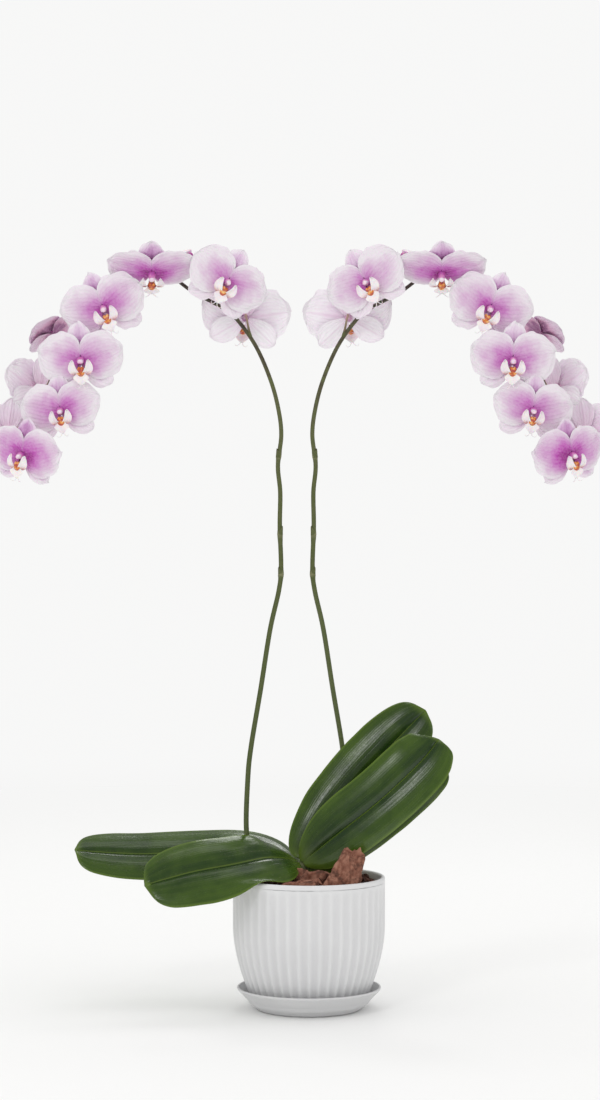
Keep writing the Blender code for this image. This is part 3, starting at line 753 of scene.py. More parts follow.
class Shape:
    """Points with stored readings, and faces with a finish number, gathered for one piece."""

    def __init__(self, *readings):
        self.points = []
        self.faces = []
        self.slots = []
        self.readings = {name: [] for name in readings}

    def point(self, place, **readings):
        self.points.append(tuple(place))
        for name, stored in self.readings.items():
            stored.append(readings.get(name, 0.0))
        return len(self.points) - 1

    def face(self, *corners, slot=0):
        self.faces.append(corners)
        self.slots.append(slot)

    def grid(self, rows, closed=False, slot=0):
        """Faces between rows of point numbers; closed joins each row's end to its start."""
        for near, far in zip(rows, rows[1:]):
            count = len(near)
            for k in range(count if closed else count - 1):
                n = (k + 1) % count
                self.face(near[k], near[n], far[n], far[k], slot=slot)

    def piece(self, name, finishes, record_slot, *nodes, matrix=None):
        """Makes the object, lets it ride on the frame and stand for its CAD nodes."""
        mesh = bpy.data.meshes.new(name)
        mesh.from_pydata(self.points, [], self.faces)
        for finish in finishes:
            mesh.materials.append(FINISHES[finish])
        mesh.polygons.foreach_set("material_index", self.slots)
        mesh.polygons.foreach_set("use_smooth", [True] * len(mesh.polygons))
        for label, stored in self.readings.items():
            layer = mesh.attributes.new(label, "FLOAT", "POINT")
            layer.data.foreach_set("value", stored)
        if matrix is not None:
            mesh.transform(matrix)
        shape = bmesh.new()
        shape.from_mesh(mesh)
        bmesh.ops.recalc_face_normals(shape, faces=shape.faces)
        shape.to_mesh(mesh)
        shape.free()
        mesh.set_sharp_from_angle(angle=math.radians(CREASE_ANGLE))
        obj = bpy.data.objects.new(name, mesh)
        bpy.context.scene.collection.objects.link(obj)
        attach(obj, "root")
        if nodes:
            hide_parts(*nodes)
        return obj


def turns(steps):
    """Evenly spaced angles round a full circle."""
    return [2 * math.pi * k / steps for k in range(steps)]


def around(radius, turn, height=0):
    """The point at a radius and turn round the upright axis."""
    return radius * math.cos(turn), radius * math.sin(turn), height


def curve_point(points, t):
    """The point at share t of a smooth curve through the given points."""
    last = len(points) - 1
    place = min(max(t, 0.0), 1.0) * last
    i = min(int(place), last - 1)
    u = place - i
    p0 = points[max(i - 1, 0)]
    p1 = points[i]
    p2 = points[i + 1]
    p3 = points[min(i + 2, last)]
    a = 2 * p1
    b = (p2 - p0) * u
    c = (2 * p0 - 5 * p1 + 4 * p2 - p3) * u**2
    d = (3 * p1 - p0 - 3 * p2 + p3) * u**3
    return (a + b + c + d) / 2


def smooth_step(low, high, value):
    share = min(max((value - low) / (high - low), 0.0), 1.0)
    return share * share * (3 - 2 * share)


def waver(place, size, seed):
    """Smooth wandering between -1 and 1 over features of the given size."""
    return noise.noise(Vector(place) / size + Vector((seed * 7.3, seed * 3.1, seed)))


def add_blade(shape, rows, thickness, slot=0):
    """A closed blade over rows of (point, along, across, reach): thin at its edges."""
    count, width = len(rows), len(rows[0])
    fronts, backs = [], []
    for i, row in enumerate(rows):
        front_row, back_row = [], []
        before, after = rows[max(i - 1, 0)], rows[min(i + 1, count - 1)]
        for k, (place, along, across, reach, painted_light) in enumerate(row):
            run = after[k][0] - before[k][0]
            side = row[min(k + 1, width - 1)][0] - row[max(k - 1, 0)][0]
            normal = run.cross(side).normalized()
            outer = max(abs(across), smooth_step(0.8, 1.0, along))
            half = thickness / 2 * (1 - 0.75 * outer**4)
            stored = {"along": along, "across": across, "reach": reach, "painted_light": painted_light}
            front_row.append(shape.point(place + normal * half, face=1.0, **stored))
            back_row.append(shape.point(place - normal * half, face=0.0, **stored))
        fronts.append(front_row)
        backs.append(back_row)
    shape.grid(fronts, slot=slot)
    shape.grid([row[::-1] for row in backs], slot=slot)
    rim_front = fronts[0] + [row[-1] for row in fronts[1:-1]] + fronts[-1][::-1]
    rim_back = backs[0] + [row[-1] for row in backs[1:-1]] + backs[-1][::-1]
    rim_front += [row[0] for row in fronts[-2:0:-1]]
    rim_back += [row[0] for row in backs[-2:0:-1]]
    shape.grid([rim_front, rim_back], closed=True, slot=slot)


def add_tube(shape, points, radii, sides=12, slot=0, readings=None):
    """A round tube with rounded ends; readings gives stored values for a share of its length."""
    normal = Vector((0, 0, 1)).cross(points[1] - points[0])
    if normal.length < 1e-6:
        normal = Vector((1, 0, 0))
    last = len(points) - 1
    rings = []
    for i, (point, radius) in enumerate(zip(points, radii)):
        run = (points[min(i + 1, last)] - points[max(i - 1, 0)]).normalized()
        normal = (normal - run * normal.dot(run)).normalized()
        side = run.cross(normal)
        stored = {"along": i / last}
        if readings:
            stored.update(readings(i / last, point))
        ring = []
        for k, turn in enumerate(turns(sides)):
            out = normal * math.cos(turn) + side * math.sin(turn)
            across = abs(2 * k / sides - 1)
            ring.append(shape.point(point + out * radius, across=across, **stored))
        rings.append(ring)
    shape.grid(rings, closed=True, slot=slot)
    for ring, end, toward, radius in (
        (rings[0], points[0], points[0] - points[1], radii[0]),
        (rings[-1], points[-1], points[-1] - points[-2], radii[-1]),
    ):
        stored = {"along": 0.0 if ring is rings[0] else 1.0}
        if readings:
            stored.update(readings(stored["along"], end))
        tip = shape.point(end + toward.normalized() * radius * 0.6, **stored)
        for k in range(sides):
            shape.face(ring[k], ring[(k + 1) % sides], tip, slot=slot)


def add_ball(shape, matrix, sides=14, rings=9, slot=0, along=None, bend=None):
    """A round body; along gives the stored value for its height share, bend moves a point."""
    rows = []
    for i in range(1, rings):
        tilt = math.pi * i / rings
        row = []
        for k, turn in enumerate(turns(sides)):
            place = Vector(around(math.sin(tilt), turn, math.cos(tilt)))
            if bend:
                place = bend(place)
            value = along(i / rings) if along else i / rings
            row.append(shape.point(matrix @ place, along=value, across=k / sides))
        rows.append(row)
    shape.grid(rows, closed=True, slot=slot)
    for row, up, share in ((rows[0], 1, 0.0), (rows[-1], -1, 1.0)):
        place = Vector((0, 0, up))
        value = along(share) if along else share
        tip = shape.point(matrix @ (bend(place) if bend else place), along=value)
        for k in range(sides):
            shape.face(row[k], row[(k + 1) % sides], tip, slot=slot)


def turned_shape(shape, profile, steps):
    """A turned body from a closed profile of (radius, height); radius 0 ends it on the axis."""
    rows = []
    for radius, height in profile:
        row = []
        for turn in turns(steps):
            row.append(shape.point(around(radius, turn, height)))
        rows.append(row)
    shape.grid(rows, closed=True)
    return rows


def rounded(points, radius, steps=5):
    """A profile with each inner corner rounded."""
    out = [points[0]]
    for before, corner, after in zip(points, points[1:], points[2:]):
        here = Vector(corner)
        to_before = Vector(before) - here
        to_after = Vector(after) - here
        cut = min(radius, to_before.length * 0.45, to_after.length * 0.45)
        start = here + to_before.normalized() * cut
        end = here + to_after.normalized() * cut
        for i in range(steps + 1):
            u = i / steps
            out.append(tuple(start * (1 - u) ** 2 + here * 2 * u * (1 - u) + end * u**2))
    out.append(points[-1])
    return out


# --- saucer and pot -----------------------------------------------------------------------


def saucer():
    floor, wall = 0.0035, 0.0026
    foot = 0.049
    profile = [
        (0.0012, floor),
        (foot + 0.004, floor),
        (foot + 0.0075, floor + 0.0022),
        (SAUCER_RIM - wall, SAUCER_HEIGHT - wall / 2),
        (SAUCER_RIM - wall * 0.8, SAUCER_HEIGHT),
        (SAUCER_RIM - wall * 0.1, SAUCER_HEIGHT),
        (SAUCER_RIM, SAUCER_HEIGHT - wall * 0.6),
        (foot + 0.0122, 0.0118),
        (foot + 0.0072, 0.0066),
        (foot + 0.0016, 0.0012),
        (foot - 0.001, 0.0),
        (foot - 0.0045, 0.0),
        (foot - 0.006, 0.0009),
        (0.0012, 0.0009),
    ]
    shape = Shape("hollow")
    rows = turned_shape(shape, rounded(profile, 0.0022), 144)
    shape.face(*rows[0])
    shape.face(*reversed(rows[-1]))
    shape.piece("saucer_dish", ["saucer"], "saucer_glaze", "saucer")


def pot_side(height):
    if height >= POT_SHOULDER:
        return POT_RADIUS
    share = (POT_SHOULDER - height) / POT_SHOULDER
    return POT_RADIUS - (POT_RADIUS - POT_BASE_RADIUS) * share**POT_CURVE


# height below the rim, and how far in from the pot's widest
RIM_OUTSIDE = ((0.005, 0.0), (0.0022, 0.0), (0.0011, 0.0002), (0.0004, 0.0007), (0.0, 0.0014))
RIM_INSIDE = ((0.0, 0.0022), (0.0004, 0.003), (0.0011, 0.0034), (0.0022, POT_WALL))
FOOT_EDGE = 0.0016
SIDE_RINGS = 40
INSIDE_RINGS = 14
INSIDE_FROM = 0.0022
INSIDE_TO = 0.012


def flute_depth(height):
    below_band = POT_HEIGHT - RIM_BAND - height
    if below_band <= 0:
        return 0.0
    fade = smooth_step(0.0, 0.007, below_band) * smooth_step(0.0, 0.0035, height)
    return FLUTE_DEPTH * (0.4 + 0.6 * below_band / (POT_HEIGHT - RIM_BAND)) * fade


def pot():
    """Fluted outside, rolled rim, plain inside and a drained floor."""
    steps = FLUTES * FLUTE_STEPS
    edge = FOOT_EDGE
    shape = Shape("hollow")
    rows = []

    def ring(radius, height, depth=0.0):
        row = []
        for turn in turns(steps):
            ridge = (0.5 + 0.5 * math.cos(turn * FLUTES)) ** 2.2
            valley = depth * (1 - ridge)
            wobble = 0.00012 * waver((math.cos(turn), math.sin(turn), height * 9), 0.5, 2)
            reach = radius - valley + wobble
            # Each point stores how deep it lies in a flute, for the glaze's painted shade.
            row.append(
                shape.point(around(reach, turn, POT_BOTTOM + height), hollow=valley / FLUTE_DEPTH)
            )
        rows.append(row)

    floor_radius = pot_side(POT_FLOOR) - POT_WALL
    ring(DRAIN_RADIUS, POT_FLOOR)
    ring(DRAIN_RADIUS, 0.0008)
    ring(DRAIN_RADIUS + 0.001, 0.0)
    ring(pot_side(0) - edge - 0.004, 0.0)
    ring(pot_side(0) - edge, 0.0)
    ring(pot_side(0) - edge * 0.45, edge * 0.35)
    ring(pot_side(edge) - edge * 0.12, edge)
    for i in range(1, SIDE_RINGS + 1):
        height = edge + (POT_HEIGHT - RIM_BAND - edge) * i / SIDE_RINGS
        ring(pot_side(height), height, flute_depth(height))
    for height, inset in RIM_OUTSIDE + RIM_INSIDE:
        ring(POT_RADIUS - inset, POT_HEIGHT - height)
    top = POT_HEIGHT - INSIDE_FROM
    for i in range(1, INSIDE_RINGS + 1):
        height = top - (top - INSIDE_TO) * i / INSIDE_RINGS
        ring(pot_side(height) - POT_WALL, height)
    ring(floor_radius - 0.001, 0.0065)
    ring(floor_radius - 0.004, POT_FLOOR)
    rows.append(rows[0])
    shape.grid(rows, closed=True)
    shape.piece("fluted_pot", ["pot"], "pot_glaze", "pot")


# --- bark ---------------------------------------------------------------------------------

BARK_CHUNKS = {
    "bark_chunk_1": ((0.0425, -0.043, 0.012), (0.0185, 0.009, 0.026), 14, 24),
    "bark_chunk_2": ((0.001, -0.0515, 0.001), (0.0175, 0.009, 0.009), -6, -4),
    "bark_chunk_3": ((0.012, -0.027, 0.003), (0.0165, 0.0085, 0.012), 10, 8),
    "bark_chunk_4": ((0.034, 0.03, 0.002), (0.018, 0.013, 0.009), -12, 30),
}


def lump_mesh(detail, move):
    """A round body with every point moved by a function of its direction."""
    form = bmesh.new()
    bmesh.ops.create_icosphere(form, subdivisions=detail, radius=1)
    for vert in form.verts:
        vert.co = move(vert.co.copy())
    faces = [[vert.index for vert in face.verts] for face in form.faces]
    points = [vert.co.copy() for vert in form.verts]
    form.free()
    return points, faces


def torn(place, seed, layers):
    """How far torn bark stands out at a place: stepped plates over a rough ground."""
    ground = noise.fractal(place * 1.5 + seed, 0.8, 2.2, 5)
    level = (place.z * 0.6 + place.x * 0.25 + 0.35 * ground) * layers
    step = math.floor(level) + smooth_step(0.55, 1.0, level - math.floor(level))
    plates = (level - step) * 0.5
    return 0.11 * plates + 0.16 * ground


def bark_chunk(name):
    centre, half_sizes, lean, turn = BARK_CHUNKS[name]
    seed = Vector((0, 0, 3.7 * len(name) + 7.1 * list(BARK_CHUNKS).index(name)))

    def move(place):
        facets = noise.noise(place * 1.3 + seed) * 0.3
        square = max(abs(c) for c in place)
        out = place * ((1 + facets) / (0.45 + 0.55 * square))
        out *= 1 + torn(place, seed, 5.5) - 0.01
        if name == "bark_chunk_1":
            out.x = out.x * (0.8 - 0.32 * out.z) + 0.22 * out.z
        return Vector([c * h for c, h in zip(out, half_sizes)])

    points, faces = lump_mesh(5, move)
    spin = Matrix.Rotation(math.radians(turn), 4, "Z") @ Matrix.Rotation(math.radians(lean), 4, "Y")
    matrix = Matrix.Translation(CROWN_FOOT + Vector(centre)) @ spin
    shape = Shape()
    for place in points:
        shape.point(place)
    for face in faces:
        shape.face(*face)
    shape.piece(f"{name}_torn", ["bark"], "bark", name, matrix=matrix)


def bark_bed():
    """Dark bed under the loose chips, filling the inside of the pot; its dark colour is partly the
    bark's own and partly painted shade in the gaps between the chips.
    """
    edge = POT_RADIUS - POT_WALL - 0.0006
    shape = Shape()
    rows = []
    steps = 96
    for i in range(25):
        share = i / 24
        radius = max(edge * share, 0.0008)
        row = []
        for turn in turns(steps):
            x, y, _ = around(radius, turn)
            rough = 0.0016 * noise.fractal(Vector((x, y, 0)) * 130, 0.7, 2.1, 4)
            height = BED_LEVEL - 0.0015 + 0.004 * (1 - share**2) + rough * min(1, 6 * (1 - share))
            row.append(shape.point((x, y, height)))
        rows.append(row)
    for height in (0.09, 0.0745, 0.05, 0.03, 0.012, POT_FLOOR + 0.0006):
        radius = pot_side(height) - POT_WALL - 0.0006
        if height < POT_FLOOR + 0.001:
            radius -= 0.004
        row = []
        for turn in turns(steps):
            row.append(shape.point(around(radius, turn, POT_BOTTOM + height)))
        rows.append(row)
    shape.grid(rows, closed=True)
    shape.face(*reversed(rows[0]))
    shape.face(*rows[-1])
    shape.piece("bark_bed", ["chips"], "bark_bed", "potting_mix")


def bark_chips():
    """Broken chips lying over the bed inside the rim, clear of the crown."""
    draw = random.Random(41)
    shape = Shape()
    laid = 0
    while laid < CHIP_COUNT:
        reach = (POT_RADIUS - POT_WALL - 0.009) * math.sqrt(draw.random())
        turn = draw.uniform(0, 2 * math.pi)
        x, y, _ = around(reach, turn)
        if math.hypot(x - CROWN_FOOT.x, y) < 0.014:
            continue
        size = draw.uniform(0.0042, 0.0085)
        half_sizes = (size, size * draw.uniform(0.45, 0.75), size * draw.uniform(0.22, 0.42))
        seed = Vector((laid * 1.7, 3.3, 0))

        def move(place):
            square = max(abs(c) for c in place)
            out = place * ((1 + 0.35 * noise.noise(place * 1.6 + seed)) / (0.4 + 0.6 * square))
            out *= 1 + torn(place, seed, 3.5)
            return Vector([c * h for c, h in zip(out, half_sizes)])

        points, faces = lump_mesh(3, move)
        share = reach / POT_RADIUS
        height = BED_LEVEL + 0.0035 * (1 - share**2) + draw.uniform(-0.001, 0.0025)
        matrix = Matrix.Translation((x, y, height))
        matrix = matrix @ Matrix.Rotation(draw.uniform(0, 6.28), 4, "Z")
        matrix = matrix @ Matrix.Rotation(draw.gauss(0, 0.3), 4, "Y")
        matrix = matrix @ Matrix.Rotation(draw.gauss(0, 0.3), 4, "X")
        start = len(shape.points)
        for place in points:
            shape.point(matrix @ place)
        for face in faces:
            shape.face(*[start + number for number in face])
        laid += 1
    shape.piece("bark_chips", ["chips"], "bark_bed")


# --- leaves and crown ---------------------------------------------------------------------

# midrib from the crown's foot, half width, blade normal at base and tip, V fold, tip notch
LEAVES = {
    "leaf_left_back": (
        [(-0.003, 0.005, 0.016), (-0.022, 0.017, 0.0235), (-0.05, 0.031, 0.0285),
         (-0.1, 0.035, 0.0265), (-0.154, 0.032, 0.0235), (-0.196, 0.027, 0.0265),
         (-0.2165, 0.024, 0.0295)],
        0.0335, (0.1, -0.35, 0.9), (0, -0.6, 0.8), 0.1, 0.002),
    "leaf_left_front": (
        [(-0.003, -0.004, 0.021), (-0.014, -0.015, 0.0255), (-0.031, -0.029, 0.028),
         (-0.061, -0.043, 0.0235), (-0.1, -0.055, 0.0175), (-0.128, -0.061, 0.011),
         (-0.144, -0.064, 0.0065)],
        0.036, (0.25, -0.35, 0.9), (-0.05, -0.78, 0.62), 0.1, 0.006),
    "leaf_right_front": (
        [(0.003, -0.004, 0.021), (0.015, -0.007, 0.032), (0.0385, -0.0115, 0.0515),
         (0.075, -0.015, 0.081), (0.108, -0.015, 0.112), (0.124, -0.011, 0.129),
         (0.131, -0.006, 0.138)],
        0.0315, (-0.2, -0.95, 0.25), (-0.2, -0.95, 0.2), 0.14, 0.002),
    "leaf_right_back": (
        [(0.002, 0.004, 0.0225), (0.0085, 0.013, 0.032), (0.0285, 0.023, 0.061),
         (0.0535, 0.027, 0.093), (0.082, 0.029, 0.124), (0.106, 0.03, 0.149),
         (0.121, 0.031, 0.163)],
        0.0335, (-0.2, -0.95, 0.25), (-0.2, -0.95, 0.2), 0.12, 0.001),
    "leaf_right_under": (
        [(0.003, 0.001, 0.0165), (0.013, 0.001, 0.0235), (0.043, 0.004, 0.043),
         (0.082, 0.006, 0.0725), (0.112, 0.007, 0.099), (0.1275, 0.007, 0.1125),
         (0.1335, 0.007, 0.118)],
        0.0265, (-0.2, -0.95, 0.25), (-0.2, -0.95, 0.2), 0.12, 0.001),
    "leaf_young": (
        [(0.003, 0.003, 0.0121), (0.014, 0.008, 0.0178), (0.04, 0.0135, 0.028),
         (0.066, 0.015, 0.0385), (0.082, 0.015, 0.046)],
        0.0105, (-0.3, -0.8, 0.5), (-0.3, -0.85, 0.4), 0.15, 0.0),
}


def leaf_width(a):
    """Half width along a leaf as a share of its greatest: clasping base, round tip."""
    rise = math.sin(math.pi / 2 * min(a / 0.42, 1))
    tip = max(0, (a - 0.55) / 0.45)
    return (0.2 + 0.8 * rise) * math.sqrt(max(0.0, 1 - tip**2.2))


def leaf(name, along=84, across=36):
    midrib, half_width, base_normal, tip_normal, fold, notch = LEAVES[name]
    route = [CROWN_FOOT + Vector(point) for point in midrib]
    seed = 1.3 * list(LEAVES).index(name)
    rows = []
    for i in range(along + 1):
        a = math.sin(math.pi / 2 * (i / along) ** 0.94) ** 1.06
        centre = curve_point(route, a)
        run = (curve_point(route, a + 0.02) - curve_point(route, a - 0.02)).normalized()
        hint = Vector(base_normal).lerp(Vector(tip_normal), min(1, a * 1.6))
        side = run.cross(hint).normalized()
        normal = side.cross(run)
        width = half_width * max(leaf_width(a), 0.004)
        row = []
        for k in range(across + 1):
            b = math.sin(math.pi / 2 * (2 * k / across - 1))
            wave = 0.04 * waver((a * 2.2, b, 0), 0.55, seed) * abs(b)
            channel = RIB_CHANNEL * math.exp(-((b / 0.07) ** 2)) / half_width
            channel *= smooth_step(0.0, 0.2, a)
            lift = width * ((fold + 0.16) * abs(b) - 0.32 * b * b + wave - channel)
            lift += LEAF_ROLL * waver((a * 5, b * 0.8, 0), 0.9, seed + 2) * smooth_step(0.1, 0.3, a)
            lift -= LEAF_RIPPLE * math.cos(b * 21) * smooth_step(0.1, 0.3, a) * (1 - abs(b))
            ragged = 1 + 0.018 * waver((a * 6, math.copysign(1, b), 0), 0.5, seed + 4)
            pull = notch * math.exp(-((b / 0.15) ** 2)) * smooth_step(0.9, 1.0, a)
            pull += 0.35 * half_width * max(0, a - 0.8) * b * b
            place = centre + side * width * b * ragged + normal * lift - run * pull
            row.append((over_rim(place), a, b, a, 0.0))
        rows.append(row[::-1])
    shape = Shape(*BLADE_READINGS)
    add_blade(shape, rows, YOUNG_LEAF_THICKNESS if name == "leaf_young" else LEAF_THICKNESS)
    finish = "young_leaf" if name == "leaf_young" else "leaf"
    shape.piece(f"{name}_blade", [finish], finish, name)


def over_rim(point):
    """Lets a blade pass over the pot's rim in one smooth rise."""
    reach = math.hypot(point.x, point.y)
    low = RIM_LEVEL + 0.0031
    near = math.exp(-(((reach - POT_RADIUS + POT_WALL / 2) / 0.016) ** 2))
    raised = max(0.0, low - point.z)
    if point.z < RIM_LEVEL - 0.02:
        raised = 0.0
    return Vector((point.x, point.y, point.z + raised * near))


CROWN_RADIUS = 0.0078
CROWN_TAPER = 0.0015
ROUNDED_FROM = 0.93


def crown():
    """Short stem of clasped leaf bases, its lower scales dry."""
    shape = Shape("along", "across", "ring")
    steps = 48
    rows = []
    bottom = BED_LEVEL - 0.02
    for i in range(31):
        share = i / 30
        height = bottom + (CROWN_TOP - bottom) * share
        row = []
        for k, turn in enumerate(turns(steps)):
            clasp = 0.0007 * math.cos(2 * turn + (1.0 if int(share * 6) % 2 else 2.4))
            sheath = 0.0009 * (share * 6 - math.floor(share * 6))
            radius = CROWN_RADIUS - CROWN_TAPER * share**3 + clasp - sheath
            if share > ROUNDED_FROM:
                radius *= 1 - 0.4 * ((share - ROUNDED_FROM) / (1 - ROUNDED_FROM)) ** 2
            row.append(
                shape.point(
                    CROWN_FOOT + Vector(around(radius, turn, height - BED_LEVEL)),
                    along=0.1 + 0.2 * (1 - share),
                    across=abs(2 * k / steps - 1) * 2,
                    ring=0.25 * (share * 6 - math.floor(share * 6)),
                )
            )
        rows.append(row)
    shape.grid(rows, closed=True)
    shape.face(*rows[0])
    shape.face(*reversed(rows[-1]))
    shape.piece("crown_stub", ["stem"], "stem", "crown")


# --- flower spikes ------------------------------------------------------------------------

LOWER_STEMS = {
    -1: [
        (-0.001, -0.001, 0.0125), (0.02, -0.005, 0.0145), (0.041, -0.0005, 0.026),
        (0.0478, 0.001, 0.05), (0.0466, 0.002, 0.099), (0.0435, 0.004, 0.13),
        (0.0345, 0.007, 0.184), (0.0255, 0.009, 0.241),
    ],
    1: [
        (0.004, 0.003, 0.0125), (0.007, 0.022, 0.0153), (0.026, 0.0465, 0.033),
        (0.0465, 0.051, 0.06), (0.0466, 0.0475, 0.099), (0.0435, 0.042, 0.13),
        (0.0345, 0.03, 0.184), (0.0255, 0.02, 0.241),
    ],
}
UPPER_STEM = [
    (0.0172, 0.01, 0.278), (0.015, 0.01, 0.3), (0.0162, 0.01, 0.34), (0.0158, 0.01, 0.372),
    (0.018, 0.01, 0.398), (0.0148, 0.01, 0.428), (0.0185, 0.01, 0.456), (0.0264, 0.009, 0.483),
    (0.0394, 0.008, 0.512), (0.0564, 0.007, 0.536),
]
RACHIS = [
    (0.0694, 0.006, 0.547), (0.0994, 0.008, 0.5635), (0.12, 0.012, 0.578), (0.143, 0.0128, 0.5835),
    (0.1664, 0.008, 0.573), (0.1894, 0.004, 0.553), (0.2084, 0.001, 0.529), (0.2254, 0.0, 0.4985),
    (0.2404, 0.0, 0.462), (0.251, 0.0, 0.43), (0.2575, 0.002, 0.408),
]
STEM_NODES = (0.407, 0.331, 0.294)
STEM_STEPS = 260
RISING_SHARE = 0.62
STALK_STEPS = 20

# outward from the spikes' plane, depth, height from the bed; yaw, pitch, lean; size; how
# much paler than the rest as painted light, or darker below zero as painted shade, for how it is
# lit
FLOWERS = [
    ((0.0497, 0.025, 0.5397), 184, -4, 8, 1.06, 1.8),
    ((0.0666, -0.022, 0.5684), 14, -8, -30, 0.98, 0.7),
    ((0.101, 0.014, 0.594), -70, 64, 0, 0.86, -2.0),
    ((0.1367, -0.0186, 0.5796), 4, -60, 0, 1.04, -0.7),
    ((0.1816, -0.02, 0.5441), 2, -14, 22, 1.0, 0.0),
    ((0.2335, 0.02, 0.524), -130, 42, 0, 0.8, -2.5),
    ((0.2029, -0.024, 0.4948), 0, -12, 3, 1.0, 0.3),
    ((0.2475, 0.022, 0.4711), -148, -8, 14, 0.92, 0.8),
    ((0.2221, -0.02, 0.448), -3, -12, 7, 0.94, 0.1),
    ((0.2765, 0.02, 0.4281), -160, -10, 8, 0.96, 0.8),
    ((0.2574, -0.024, 0.4055), -26, -10, -10, 0.94, -1.0),
]


def spike_point(place, mirror):
    out, depth, height = place
    return Vector((SPIKE_PLANE + mirror * out, depth, BED_LEVEL + height))


def flower_matrix(flower, mirror):
    place, yaw, pitch, lean, size = flower[:5]
    turn = Matrix.Rotation(math.radians(-mirror * yaw), 4, "Z")
    turn = turn @ Matrix.Rotation(math.radians(-pitch), 4, "X")
    turn = turn @ Matrix.Rotation(math.radians(mirror * lean), 4, "Y")
    return Matrix.Translation(spike_point(place, mirror)) @ turn @ Matrix.Scale(size, 4)


def node_swelling(height, reach):
    total = 0.0
    for node in STEM_NODES:
        total += math.exp(-(((height - BED_LEVEL - node) / reach) ** 2))
    return total


def add_bract(shape, point, run, facing, length, radius, slot):
    """A small pointed scale that clasps the stem and leans along it."""
    side = run.cross(facing).normalized()
    facing = side.cross(run).normalized()
    rows = []
    for i in range(9):
        a = i / 8
        row = []
        for k in range(9):
            b = 2 * k / 8 - 1
            wrap = b * 1.9 * (1 - a**1.6)
            out = radius * (1.12 + 0.25 * a * a)
            away = facing * math.cos(wrap) + side * math.sin(wrap)
            place = point + run * length * a + away * out
            row.append((place, 0.3 + 0.3 * a, b, a, 0.0))
        rows.append(row)
    add_blade(shape, rows, 0.0005, slot=slot)


def spike(side, mirror):
    """Stem, flower-bearing part, scales, stalks and the growing tip."""
    stem = [spike_point(place, mirror) for place in LOWER_STEMS[mirror] + UPPER_STEM]
    rachis = [spike_point(place, mirror) for place in RACHIS]
    route = stem + rachis
    flowering = stem[-5:] + rachis
    shape = Shape(*BLADE_READINGS, "ring")
    count = STEM_STEPS
    points = [curve_point(route, i / count) for i in range(count + 1)]
    radii = []
    for i, point in enumerate(points):
        radius = STEM_RADIUS + (STEM_TIP_RADIUS - STEM_RADIUS) * (i / count) ** 1.5
        radii.append(radius + 0.0006 * node_swelling(point.z, 0.0035) * (i < count * RISING_SHARE))

    def ring_marks(share, point):
        if share > RISING_SHARE:
            return {"ring": 0.0}
        return {"ring": 0.75 * min(1.0, node_swelling(point.z, 0.0016))}

    add_tube(shape, points, radii, sides=14, readings=ring_marks)
    for number, node in enumerate(STEM_NODES):
        place, run = nearest_on(points, BED_LEVEL + node)
        facing = Vector((mirror * (-1) ** number, -0.6, 0))
        add_bract(shape, place - run * 0.001, run, facing, 0.009, STEM_RADIUS * 0.9, 0)
    for number, flower in enumerate(FLOWERS, 1):
        stalk_points, radii = stalk_route(flower, mirror, flowering)
        add_tube(shape, stalk_points, radii, sides=9, slot=1)
        run = (stalk_points[1] - stalk_points[0]).normalized()
        add_bract(shape, stalk_points[0], run, Vector((0, -1, 0.4)), 0.0055, STALK_RADIUS * 1.5, 0)
    end, before = points[-1], points[-6]
    heading = (end - before).normalized()
    for lengthwise, size in ((0.0035, 0.0021), (0.0075, 0.0014)):
        upright = heading.to_track_quat("Z", "Y").to_matrix().to_4x4()
        matrix = Matrix.Translation(end + heading * lengthwise) @ upright
        bud = matrix @ Matrix.Diagonal((size, size, size * 1.5, 1))
        add_ball(shape, bud, along=lambda share: 0.3)
    shape.piece(f"spike_{side}_stem", ["stem", "stalk"], "stem", f"spike_{side}")


def nearest_on(points, height):
    """Place and heading on the rising part of the stem at a height."""
    best = min(range(2, int(len(points) * RISING_SHARE)), key=lambda i: abs(points[i].z - height))
    return points[best], (points[best + 1] - points[best - 1]).normalized()


def stalk_route(flower, mirror, flowering):
    """Points and radii from the stem to the back of a flower."""
    matrix = flower_matrix(flower, mirror)
    back = matrix @ Vector((0, RECEPTACLE_DEPTH - 0.0004, 0))
    facing = (matrix.to_3x3() @ Vector((0, -1, 0))).normalized()
    shares = [i / 200 for i in range(201)]
    target = back - facing * 0.008
    nearest = min(shares, key=lambda t: (curve_point(flowering, t) - target).length)
    root = curve_point(flowering, max(0.0, nearest - 0.04))
    bend = back - facing * min(0.012, (back - root).length * 0.5)
    guide = [root, root.lerp(bend, 0.55), bend, back]
    points = [curve_point(guide, i / STALK_STEPS) for i in range(STALK_STEPS + 1)]
    radii = []
    for i in range(STALK_STEPS + 1):
        swell = 0.0008 * math.exp(-((i / 4) ** 2))
        swell += 0.0007 * smooth_step(0.7, 1.0, i / STALK_STEPS)
        radii.append(STALK_RADIUS + swell)
    return points, radii


# --- flowers ------------------------------------------------------------------------------


def petal_width(a):
    power = 2.7 if a < 0.5 else 2.4
    return max(0.0, 1 - abs(2 * a - 1) ** power) ** 0.5


def sepal_width(a):
    return 1.55 * a**0.7 * max(0.0, 1 - a**2.8) ** 0.6


